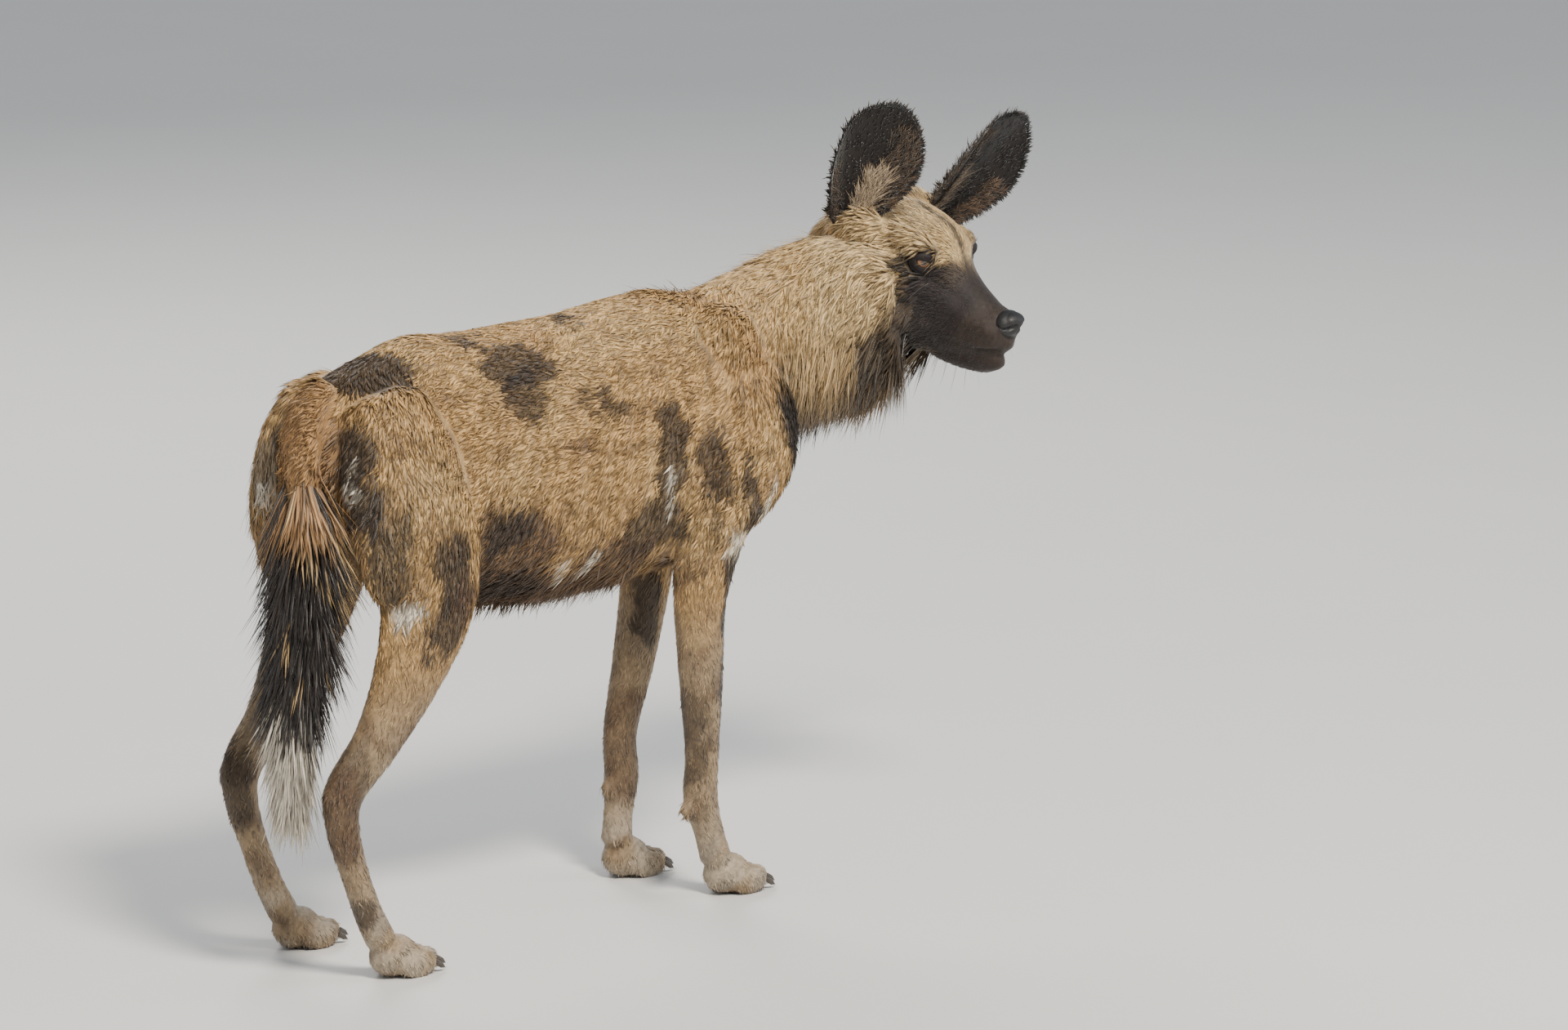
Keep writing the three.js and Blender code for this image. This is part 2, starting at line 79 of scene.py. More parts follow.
def framesAt(form, t):
    t = np.asarray(t, float)
    row = rowsAt(form["rows"], t)
    along = unit(rowsAt(form["rows"], t + 0.02)[:, :3] - rowsAt(form["rows"], t - 0.02)[:, :3])
    side = unit(np.cross(np.array(form["front"], float)[None], along))
    return row, side, np.cross(along, side), along


def meshObject(name, mesh):
    made = bpy.data.objects.new(name, mesh)
    bpy.context.scene.collection.objects.link(made)
    return made


def objectFrom(name, bm):
    mesh = bpy.data.meshes.new(name)
    bm.to_mesh(mesh)
    bm.free()
    mesh.polygons.foreach_set("use_smooth", [True] * len(mesh.polygons))
    return meshObject(name, mesh)


def points(mesh):
    flat = np.empty(len(mesh.vertices) * 3)
    mesh.vertices.foreach_get("co", flat)
    return flat.reshape(-1, 3)


def setPoints(mesh, p):
    mesh.vertices.foreach_set("co", np.ascontiguousarray(p).ravel())
    mesh.update()


def vertexNormals(mesh):
    flat = np.empty(len(mesh.vertices) * 3)
    mesh.vertices.foreach_get("normal", flat)
    return flat.reshape(-1, 3)


# Adds modifiers, each named with its settings, and turns the result into the object's own mesh
def applied(made, **settings):
    for kind, values in settings.items():
        modifier = made.modifiers.new(kind, kind.upper())
        for key, value in values.items():
            setattr(modifier, key, value)
    graph = bpy.context.evaluated_depsgraph_get()
    mesh = bpy.data.meshes.new_from_object(made.evaluated_get(graph))
    old = made.data
    made.modifiers.clear()
    made.data = mesh
    bpy.data.meshes.remove(old)
    mesh.polygons.foreach_set("use_smooth", [True] * len(mesh.polygons))


# The skin's forms: stations [x, y, z, side, front, back, pear] in the body frame, millimetres
def hindLeg(s, forward):
    return [
        [-220, s * 40, 596, 26, 42, 40, 0],
        [-218, s * 58, 548, 40, 74, 66, 0],
        [-212, s * 70, 490, 44, 82, 78, 0],
        [-203, s * 80, 430, 41, 76, 76, 0],
        [-204, s * 85, 375, 35, 64, 54, 0],
        [-232 + forward * 0.4, s * 86, 312, 28, 50, 38, 0],
        [-270 + forward * 0.7, s * 85, 252, 22, 35, 27, 0],
        [-309 + forward, s * 83, 204, 20, 26, 27, 0],
        [-313 + forward, s * 82, 166, 17, 23, 21, 0],
        [-298 + forward, s * 81, 118, 16, 20, 17, 0],
        [-278 + forward, s * 80, 70, 17, 20, 17, 0],
        [-257 + forward, s * 79, 34, 20, 21, 18, 0],
    ]


def foreLeg(s, top, wrist, foot):
    return [
        [262, s * 42, 585, 22, 44, 44, 0],
        [278, s * 60, 530, 34, 62, 58, 0],
        [272, s * 71, 475, 38, 62, 72, 0],
        [top + 36, s * 75, 425, 37, 52, 64, 0],
        [top + 18, s * 76, 375, 32, 38, 44, 0],
        [top + 8, s * 74, 320, 28, 34, 31, 0],
        [(top + wrist) / 2 + 4, s * 71, 235, 24, 30, 25, 0],
        [wrist, s * 69, 160, 20, 24, 20, 0],
        [wrist, s * 67, 112, 20, 24, 21, 0],
        [(wrist + foot) / 2, s * 66, 72, 18, 20, 19, 0],
        [foot, s * 65, 34, 21, 21, 19, 0],
    ]


head = {"at": (518, -46, 648), "yaw": -80, "pitch": -15, "size": 1.06}
headMatrix = (
    Matrix.Translation(head["at"])
    @ Matrix.Rotation(math.radians(head["yaw"]), 4, "Z")
    @ Matrix.Rotation(math.radians(-head["pitch"]), 4, "Y")
    @ Matrix.Scale(head["size"], 4)
)
headTurn = np.array(headMatrix)[:3, :3]


def fromHead(p):
    return np.asarray(p, float) @ headTurn.T + np.array(head["at"], float)


def toHead(p):
    return (p - np.array(head["at"], float)) @ np.linalg.inv(headTurn).T


headRows = [
    [-90, 0, -8, 10, 8, 10, 0],
    [-78, 0, -6, 36, 26, 40, 0.05],
    [-48, 0, -2, 58, 49, 62, 0.04],
    [-12, 0, 0, 70, 64, 72, 0.08],
    [22, 0, -4, 65, 70, 74, 0.1],
    [50, 0, -12, 55, 65, 68, 0.08],
    [74, 0, -18, 42, 49, 60, 0.08],
    [98, 0, -22, 35, 38, 51, 0.1],
    [122, 0, -24, 30, 29, 42, 0.12],
    [142, 0, -24, 25, 20, 31, 0.08],
    [153, 0, -24, 14, 11, 16, 0],
]
placedHeadRows = [
    [*fromHead([r[:3]])[0], *(v * head["size"] for v in r[3:6]), r[6]] for r in headRows
]
forms = {
    "torso": {
        "rows": [
            [-302, 0, 525, 26, 26, 40, 0],
            [-284, 0, 525, 54, 56, 76, 0],
            [-240, 0, 522, 76, 98, 110, 0.1],
            [-170, 0, 510, 84, 134, 122, 0.1],
            [-90, 0, 498, 90, 142, 142, 0],
            [0, 0, 490, 100, 150, 150, 0.04],
            [90, 0, 490, 106, 152, 151, 0.05],
            [170, 0, 500, 100, 150, 156, 0.02],
            [240, 0, 510, 90, 140, 158, 0.02],
            [300, 0, 522, 80, 112, 138, 0.02],
            [345, 0, 520, 50, 62, 90, 0],
            [356, 0, 516, 20, 25, 40, 0],
        ],
        "front": [0, 0, 1],
        "coat": 6,
    },
    "neck": {
        "rows": [
            [232, 0, 545, 76, 92, 112, 0.05],
            [290, 0, 562, 76, 86, 106, 0.05],
            [352, -4, 584, 71, 78, 98, 0.05],
            [412, -18, 606, 68, 76, 98, 0.05],
            [464, -43, 624, 66, 70, 106, 0.05],
            [504, -78, 630, 58, 56, 104, 0],
        ],
        "front": [0, 0, 1],
        "coat": 10,
    },
    "head": {"rows": placedHeadRows, "front": list(headTurn[:, 2]), "coat": 2},
    "hind_right": {"rows": hindLeg(-1, 0), "front": [1, 0, 0], "coat": 3},
    "hind_left": {"rows": hindLeg(1, 8), "front": [1, 0, 0], "coat": 3},
    "front_right": {"rows": foreLeg(-1, 190, 205, 232), "front": [1, 0, 0], "coat": 3},
    "front_left": {"rows": foreLeg(1, 254, 218, 208), "front": [1, 0, 0], "coat": 3},
    "tail": {
        "rows": [
            [-236, 0, 590, 24, 20, 20, 0],
            [-278, -5, 580, 22, 19, 19, 0],
            [-304, -18, 548, 20, 18, 18, 0],
            [-314, -30, 505, 18, 16, 16, 0],
            [-318, -36, 440, 16, 14, 14, 0],
            [-322, -36, 370, 14, 12, 12, 0],
            [-328, -33, 310, 11, 9, 9, 0],
            [-332, -30, 255, 7, 6, 6, 0],
            [-333, -28, 205, 5, 4, 4, 0],
        ],
        "front": [1, 0, 0.2],
        "coat": 0,
    },
}
pawAt = {
    "hind_right": [-243, -79],
    "hind_left": [-235, 79],
    "front_right": [246, -65],
    "front_left": [222, 65],
}
balls = [  # [centre, radii] in the body frame
    *([[262, s * 42, 548], [74, 34, 80]] for s in (-1, 1)),
    *([[wrist - 19, s * 67, 100], [8, 8, 9]] for wrist, s in ((205, -1), (218, 1))),
]
for x, y in pawAt.values():
    balls.append([[x, y, 22], [28, 22, 22]])
    for side, reach in ((-21, 27), (-7.5, 40), (7.5, 40), (21, 27)):
        balls.append([[x + reach - 10, y + side * 0.96, 13], [24, 8.4, 15]])
headBalls = []  # [centre, radii] in the head frame
for s in (-1, 1):
    headBalls += [
        [[44, s * 36, 36], [25, 15, 11]],  # brow
        [[6, s * 44, -30], [56, 30, 38]],  # cheek
        [[128, s * 15, -27], [25, 11, 14]],  # whisker pad
        [[-20, s * 44, 34], [32, 24, 28]],  # root of the ear
    ]
headBalls += [
    [[100, 0, -63], [49, 19, 14]],  # jaw
    [[126, 0, -58], [25, 17, 12]],
    [[134, 0, -22], [22, 22, 21]],  # end of the muzzle
    [[144, 0, -21], [12, 18, 17]],
    [[143, 0, -35], [16, 16, 12]],
    [[132, 0, -57], [23, 15, 12]],  # chin
]


def addTube(bm, form, cap, around=40, along=84):
    made = bmesh.ops.create_uvsphere(bm, u_segments=around, v_segments=along, radius=1)["verts"]
    p = np.array([v.co[:] for v in made])
    theta = np.arccos(np.clip(p[:, 2], -1, 1))
    taper = np.minimum(1, np.sin(theta) / math.sin(cap * math.pi))
    angle = np.arctan2(p[:, 1], p[:, 0])
    row, side, up, _ = framesAt(form, theta / math.pi)
    s = np.sin(angle)
    inset = form["coat"]
    across = np.maximum(row[:, 3] - inset, 2) * (1 - row[:, 6] * s)
    rise = np.maximum(np.where(s > 0, row[:, 4], row[:, 5]) - inset, 2)
    out = side * (np.cos(angle) * across)[:, None] + up * (s * rise)[:, None]
    place = row[:, :3] + out * taper[:, None]
    for v, co in zip(made, place):
        v.co = co


def addBall(bm, centre, radii, turn=Matrix()):
    matrix = turn @ Matrix.Translation(centre) @ Matrix.Diagonal((*radii, 1))
    bmesh.ops.create_icosphere(bm, subdivisions=4, radius=1, matrix=matrix)


skinForm = {"voxel": 4.1, "smoothing": 4, "aboveFloor": 0.4, "roundEnd": 0.07, "bluntEnd": 0.02}
bm = bmesh.new()
for name, form in forms.items():
    addTube(bm, form, skinForm["roundEnd" if name in ("torso", "neck", "tail") else "bluntEnd"])
for centre, radii in balls:
    addBall(bm, centre, radii)
for centre, radii in headBalls:
    addBall(bm, centre, radii, headMatrix)
skin = objectFrom("skin", bm)
applied(
    skin,
    remesh={"mode": "VOXEL", "voxel_size": skinForm["voxel"]},
    smooth={"factor": 0.5, "iterations": skinForm["smoothing"]},
)
print("skin remeshed", len(skin.data.vertices))

# The head's faces are split once more for the lips and lids
bm = bmesh.new()
bm.from_mesh(skin.data)
centres = toHead(np.array([f.calc_center_median()[:] for f in bm.faces]))
onHead = (centres[:, 0] > 20) & (np.abs(centres).max(axis=1) < 190) & (centres[:, 2] > -80)
chosen = set()
for face, keep in zip(bm.faces, onHead):
    if keep:
        chosen.update(face.edges)
bmesh.ops.subdivide_edges(bm, edges=list(chosen), cuts=1, use_grid_fill=True, smooth=0.6)
bm.to_mesh(skin.data)
bm.free()
skin.data.update()

# Relief pressed into the skin: [from, to, radius, push] in millimetres, right side then mirrored
bodyRelief = [
    [(270, -84, 590), (258, -100, 500), 20, 3.0],  # shoulder blade
    [(215, -95, 560), (190, -108, 430), 18, -3.0],  # behind the shoulder
    [(300, -80, 470), (262, -104, 430), 22, 3.0],  # upper arm
    [(235, -106, 425), (205, -104, 405), 13, 5.0],  # elbow
    [(-150, -84, 560), (-125, -100, 470), 24, -2.0],  # hollow before the thigh
    [(-128, -98, 460), (-130, -100, 385), 12, 1.6],  # flank fold
    [(-205, -56, 600), (-190, -66, 588), 17, 4.5],  # hip
    [(-232, -118, 500), (-214, -122, 400), 22, 3.0],  # thigh
    [(-275, -100, 430), (-258, -108, 350), 16, -2.5],  # behind the thigh
    [(-290, -104, 250), (-318, -101, 215), 6, -2.6],  # hollow before the heel cord
    [(-314, -83, 190), (-334, -83, 206), 9, 2.6],  # heel
    *([(x, -100, 560), (x - 22, -98, 415), 8, 0.5] for x in range(20, 171, 30)),  # ribs
    *([(x + 15, -100, 560), (x - 7, -98, 415), 8, -0.4] for x in range(20, 151, 30)),
]
mouth = [(152, 3, -39), (146, 17, -43), (128, 27.5, -46), (104, 33, -45), (80, 40, -41), (62, 48, -39)]
headRelief = [
    *([a, b, 2.4, -2.6] for a, b in zip(mouth, mouth[1:])),
    *([(a[0], a[1], a[2] + 5), (b[0], b[1], b[2] + 5), 4, 1.0] for a, b in zip(mouth, mouth[1:])),
    [(30, 62, 5), (62, 50, -4), 9, 2.0],  # cheek bone
    [(76, 36, 8), (104, 30, 0), 9, -2.0],  # hollow below the eye
    [(20, 0, 70), (66, 0, 44), 5, -2.0],  # furrow of the brow
    [(110, 26, -22), (138, 22, -24), 8, 1.6],  # whisker pad
    [(70, 20, 36), (66, 30, 34), 8, 2.2],  # inner brow
    [(-5, 60, -40), (20, 66, -36), 18, 2.5],  # cheek muscle
]


def press(p, normal, a, b, radius, push):
    a, b = np.array(a, float), np.array(b, float)
    line = b - a
    share = np.clip((p - a) @ line / max(line @ line, 1e-6), 0, 1)
    away = np.linalg.norm(p - (a + share[:, None] * line), axis=1)
    return normal * (push * np.exp(-((away / radius) ** 2)))[:, None]


p = points(skin.data)
normal = vertexNormals(skin.data)
moved = np.zeros_like(p)
for s in (1, -1):
    for a, b, radius, push in bodyRelief:
        flip = np.array([1, s, 1])
        moved += press(p, normal, np.array(a) * flip, np.array(b) * flip, radius, push)
    for a, b, radius, push in headRelief:
        flip = np.array([1, s, 1])
        ends = fromHead([np.array(a) * flip, np.array(b) * flip])
        share = 0.5 if a[1] == 0 else 1.0
        moved += press(p, normal, ends[0], ends[1], radius * head["size"], push * share)
for x, y in pawAt.values():
    for side in (-14, 0, 14):
        moved += press(p, normal, (x + 22, y + side, 28), (x + 52, y + side, 8), 3.0, -4.5)
eye = {  # millimetres in the head frame, and degrees from the gaze to the lids' edge
    "at": (56, 38.5, 25),
    "radius": 11,
    "gaze": (0.72, 0.7, 0.02),
    "socketRadius": 19,
    "socketDepth": 8.5,
    "corner": 43,
    "upperLid": 14,
    "lowerLid": 21,
    "tilt": -6,
    "lidEnd": 86,
}
mirror = {s: np.array([1, s, 1]) for s in (-1, 1)}
eyeAt = {s: fromHead([eye["at"] * mirror[s]])[0] for s in (-1, 1)}
eyeRadius = eye["radius"] * head["size"]
for centre in eyeAt.values():
    away = np.linalg.norm(p - centre, axis=1)
    moved -= normal * (eye["socketDepth"] * np.clip(1 - (away / eye["socketRadius"]) ** 2, 0, 1))[:, None]
p = p + moved
p[:, 2] = np.maximum(p[:, 2], skinForm["aboveFloor"])
setPoints(skin.data, p)
print("skin sculpted", len(p))


# Which form each point of the skin belongs to, how the hair lies there and how long it is
formNames = list(forms)


# For each form: how far outside its surface a point lies, in radii, and the share along it
def nearForms(p):
    away, share = [], []
    for form in forms.values():
        t = np.linspace(0, 1, 34)
        row = framesAt(form, t)[0]
        radius = (row[:, 3] + 0.5 * (row[:, 4] + row[:, 5])) / 2 + 6
        best, at = np.full(len(p), 1e9), np.zeros(len(p))
        for k in range(len(t)):
            d = np.linalg.norm(p - row[k, :3], axis=1) / radius[k]
            closer = d < best
            best[closer], at[closer] = d[closer], t[k]
        away.append(best)
        share.append(at)
    return np.array(away), np.array(share)


def layOf(p, normal):
    away, share = nearForms(p)
    weight = np.exp(-9 * (away - away.min(axis=0)))
    weight /= weight.sum(axis=0)
    flow = np.zeros_like(p)
    length = np.zeros(len(p))
    h = toHead(p)
    low = smooth(560 - p[:, 2], 0, 150)
    for k, name in enumerate(formNames):
        along = framesAt(forms[name], share[k])[3]
        if name == "torso":
            way = np.stack([-1 + 0.25 * low, 0 * low, -0.2 - 0.75 * low], axis=1)
            way[:, 2] -= 1.2 * smooth(p[:, 0], 300, 350)
            size = 19 + 8 * smooth(430 - p[:, 2], 0, 80)
        elif name == "neck":
            way = -along + np.array([0, 0, -0.55]) * (1 + low[:, None])
            size = 27 + 8 * smooth(600 - p[:, 2], 0, 70)
        elif name == "head":
            back = -headTurn[:, 0] / head["size"]
            down = smooth(-h[:, 0], 25, 75)[:, None]
            back = back * (1 - 0.8 * down) - headTurn[:, 2] / head["size"] * down
            rise = 0.25 * smooth(h[:, 2], 0, 50) - 0.45 * smooth(-h[:, 2], 0, 40)
            way = back + headTurn[:, 2] * rise[:, None]
            size = 6 + 12 * smooth(70 - h[:, 0], 0, 75) + 8 * smooth(-h[:, 0] - h[:, 2], 10, 90)
        elif name == "tail":
            way = along
            size = 22 + 0 * away[k]
        else:
            lower = smooth(420 - p[:, 2], 0, 130)
            way = along + np.array([-0.35, 0, 0]) * (1 - lower)[:, None]
            size = 19 - 8 * lower - 2 * smooth(110 - p[:, 2], 0, 60)
        flow += weight[k][:, None] * unit(way)
        length += weight[k] * size
    swirl = np.stack([wave(p, 120, 5), wave(p, 120, 6), wave(p, 120, 7)], axis=1)
    flow = unit(flow) + 0.22 * swirl
    flow -= normal * np.sum(flow * normal, axis=1, keepdims=True)
    return unit(flow), length, away, share


# Markings: [centre, radii, colour, strength] in the body frame, both on the skin and its coat
def colourOf(hexCode):
    value = np.array([int(hexCode[i : i + 2], 16) for i in (0, 2, 4)]) / 255
    return np.where(value < 0.04045, value / 12.92, ((value + 0.055) / 1.055) ** 2.4)


tan = colourOf("b8935f")
gold = colourOf("cba872")
orange = colourOf("a67e52")
dark = colourOf("2a211c")
brown = colourOf("5a4330")
greyTan = colourOf("93816a")
pale = colourOf("e2d8c6")
cream = colourOf("d8ba88")
muzzle = colourOf("241b1d")
marks = [
    [(-205, -10, 615), (50, 60, 20), dark, 0.9],
    [(-29, -52, 603), (48, 30, 26), dark, 0.85],
    [(-40, -70, 575), (28, 26, 34), dark, 0.8],
    [(-66, -20, 630), (34, 18, 8), dark, 0.85],
    [(68, -18, 632), (13, 14, 8), dark, 0.85],
    [(40, -80, 565), (14, 18, 9), dark, 0.7],
    [(76, -84, 558), (13, 20, 16), dark, 0.75],
    [(49, -87, 545), (9, 18, 6), dark, 0.7],
    [(20, -92, 520), (24, 18, 10), brown, 0.6],
    [(-170, -59, 583), (9, 14, 7), dark, 0.8],
    [(-183, -98, 535), (7, 12, 8), dark, 0.8],
    [(-279, -66, 548), (22, 34, 38), dark, 0.88],
    [(-272, -84, 495), (16, 22, 36), dark, 0.85],
    [(-284, -72, 520), (8, 14, 20), pale, 0.8],
    [(-263, -103, 455), (20, 20, 62), dark, 0.7],
    [(-186, -117, 430), (26, 22, 44), dark, 0.85],
    [(-190, -118, 365), (22, 24, 40), dark, 0.82],
    [(-243, -106, 388), (12, 14, 18), pale, 0.85],
    [(-217, -115, 362), (8, 12, 9), dark, 0.85],
    [(-227, -113, 338), (7, 12, 7), dark, 0.85],
    [(-170, -100, 395), (20, 30, 30), brown, 0.8],
    [(-283, 58, 524), (20, 30, 56), greyTan, 0.85],
    [(-285, 50, 560), (16, 16, 20), dark, 0.8],
    [(-286, 62, 490), (14, 14, 24), pale, 0.7],
    [(-71, -73, 415), (72, 44, 48), brown, 0.88],
    [(-75, -86, 445), (34, 24, 24), dark, 0.75],
    [(-6, -46, 363), (140, 60, 30), brown, 0.8],
    [(-60, -60, 372), (70, 40, 24), dark, 0.7],
    [(146, -96, 496), (24, 24, 50), dark, 0.85],
    [(128, -90, 425), (40, 30, 36), dark, 0.82],
    [(96, -80, 398), (60, 30, 20), brown, 0.8],
    [(150, -94, 461), (4, 20, 28), pale, 0.85],
    [(53, -76, 398), (5, 20, 18), pale, 0.8],
    [(20, -74, 390), (4, 20, 14), pale, 0.7],
    [(208, -93, 479), (22, 26, 38), dark, 0.8],
    [(245, -111, 441), (14, 20, 42), dark, 0.85],
    [(262, -108, 400), (12, 20, 46), dark, 0.85],
    [(225, -107, 396), (13, 18, 14), pale, 0.75],
    [(276, -104, 428), (5, 18, 26), pale, 0.8],
    [(200, -104, 420), (14, 20, 16), dark, 0.7],
    [(230, -86, 330), (19, 30, 70), dark, 0.9],
    [(225, -82, 240), (16, 28, 80), dark, 0.85],
    [(186, -76, 175), (12, 30, 60), dark, 0.6],
    [(222, 52, 300), (34, 20, 60), greyTan, 0.7],
    [(245, 52, 330), (14, 26, 90), dark, 0.8],
    [(212, 60, 150), (30, 30, 60), brown, 0.6],
    [(-310, -84, 215), (26, 34, 40), dark, 0.6],
    [(-330, 84, 190), (30, 34, 60), dark, 0.7],
    [(215, -62, 118), (14, 16, 30), dark, 0.75],
    [(232, -68, 150), (9, 20, 50), pale, 0.75],
    [(289, -73, 570), (30, 30, 50), orange, 0.28],
    [(353, -40, 640), (80, 70, 50), gold, 0.7],
    [(408, -84, 606), (34, 34, 30), cream, 0.5],
    [(370, -60, 520), (78, 90, 46), dark, 0.92],
    [(396, -75, 515), (88, 115, 72), dark, 0.95],
    [(402, -76, 548), (58, 60, 27), dark, 0.92],
    [(430, -90, 545), (60, 70, 40), dark, 0.92],
    [(470, -110, 560), (60, 60, 32), dark, 0.92],
    [(345, -20, 470), (50, 100, 46), dark, 0.88],
    [(-300, -15, 585), (40, 40, 40), orange, 0.8],
    [(-312, -26, 530), (40, 40, 60), orange, 0.8],
    [(-320, -84, 180), (22, 30, 50), brown, 0.75],
    [(-300, -84, 70), (26, 30, 20), dark, 0.7],
    [(-270, -80, 160), (20, 18, 70), pale, 0.6],
    [(120, 70, 596), (56, 36, 30), dark, 0.88],
    [(-70, 74, 566), (46, 36, 46), dark, 0.88],
    [(-20, 92, 500), (30, 30, 26), dark, 0.8],
    [(50, 96, 470), (18, 30, 18), pale, 0.7],
    [(-150, 90, 530), (26, 30, 30), dark, 0.8],
    [(160, 100, 480), (30, 30, 56), dark, 0.85],
    [(-60, 74, 410), (90, 44, 44), brown, 0.88],
    [(250, 108, 430), (24, 24, 60), dark, 0.85],
    [(250, 106, 500), (16, 24, 22), pale, 0.7],
    [(-190, 116, 400), (28, 28, 60), dark, 0.85],
    [(-240, 112, 460), (20, 30, 30), pale, 0.6],
    [(-190, 96, 500), (26, 24, 26), dark, 0.7],
    [(270, 60, 560), (40, 40, 40), orange, 0.25],
]
headMarks = [  # the same, in the head frame, on both sides
    [(122, 0, -30), (62, 60, 62), muzzle, 0.97],
    [(74, 34, -26), (36, 44, 34), muzzle, 0.93],
    [(64, 42, 22), (25, 24, 18), colourOf("1a1313"), 0.96],
    [(84, 26, 4), (34, 30, 24), muzzle, 0.85],
    [(14, 40, -62), (66, 50, 30), dark, 0.92],
    [(96, 0, 4), (40, 13, 30), dark, 0.85],
    [(50, 0, 52), (66, 4.5, 24), dark, 0.8],
    [(-40, 66, 0), (34, 30, 50), cream, 0.6],
    [(-30, 30, 66), (40, 20, 20), brown, 0.4],
]


def paint(p, away, share):
    h = toHead(p)
    ragged = np.stack([wave(p, 46, 20), wave(p, 46, 21), wave(p, 46, 22)], axis=1) * 7
    ragged += np.stack([wave(p, 15, 23), wave(p, 15, 24), wave(p, 15, 25)], axis=1) * 2.6
    q = p + ragged
    colour = np.tile(tan, (len(p), 1))

    def lay(tone, mask):
        colour[:] = colour * (1 - mask[:, None]) + tone * mask[:, None]

    lay(gold, 0.6 * smooth(wave(p, 160, 31), -0.2, 0.8))
    lay(colourOf("a88458"), 0.5 * smooth(wave(p, 60, 32), 0.1, 1.0))
    lay(brown, 0.38 * smooth(wave(p * np.array([1, 1, 0.7]), 26, 34), 0.1, 0.9))
    lower = smooth(350 - p[:, 2], 0, 110)
    lay(greyTan, 0.75 * lower)
    lay(brown, lower * 0.55 * smooth(wave(p, 40, 33), 0.2, 0.8))
    lay(pale, 0.3 * smooth(120 - p[:, 2], 0, 80) * smooth(wave(p, 50, 35), -0.6, 0.5))
    lay(brown, 0.6 * smooth(405 - p[:, 2], 0, 50) * (away[0] < 1.25))
    for centre, radii, tone, strength in marks:
        d = np.linalg.norm((q - np.array(centre)) / np.array(radii), axis=1)
        lay(tone, strength * smooth(1.18 - d, 0, 0.3))
    far = np.linalg.norm(h, axis=1)
    onHead = smooth(h[:, 0] + 70 - 0.2 * h[:, 2], 0, 50) * (far < 190)
    lay(gold, smooth(p[:, 0], 290, 380) * smooth(p[:, 2], 520, 580) * 0.85)
    lay(cream, onHead * (1 - smooth(-h[:, 2], 30, 60)) * (1 - smooth(far - h[:, 0], 105, 150)) * 0.75)
    hq = h + ragged * 0.45
    for centre, radii, tone, strength in headMarks:
        spot = np.array(centre, float)
        both = np.stack([hq[:, 0], np.abs(hq[:, 1]), hq[:, 2]], axis=1)
        d = np.linalg.norm((both - spot) / np.array(radii), axis=1)
        lay(tone, strength * smooth(1.3 - d, 0, 0.55) * onHead)
    fleck = wave(p * np.array([1, 1, 0.6]), 5, 40)
    return np.clip(colour * (1 + 0.22 * fleck)[:, None], 0.004, 1)


def setColour(mesh, name, values):
    attribute = mesh.attributes.new(name, "FLOAT_COLOR", "POINT")
    flat = np.ones((len(values), 4))
    flat[:, :3] = values
    attribute.data.foreach_set("color", flat.ravel())


def setShare(mesh, name, values):
    attribute = mesh.attributes.new(name, "FLOAT", "POINT")
    attribute.data.foreach_set("value", np.ascontiguousarray(values, dtype=np.float32))


skinPoints = points(skin.data)
skinNormals = vertexNormals(skin.data)
flow, hairLength, away, share = layOf(skinPoints, skinNormals)
skinColour = paint(skinPoints, away, share)
# The skin under the hair gets the coat's colour at 0.8, as painted shade beneath the hair
setColour(skin.data, "coatColour", skinColour * 0.8)
print("skin painted")


# Materials
def newMaterial(name):
    material = bpy.data.materials.new(name)
    material.use_nodes = True
    nodes, links = material.node_tree.nodes, material.node_tree.links
    return material, nodes, links, nodes["Principled BSDF"]


def setInputs(node, values):
    for name, value in values.items():
        node.inputs[name].default_value = value
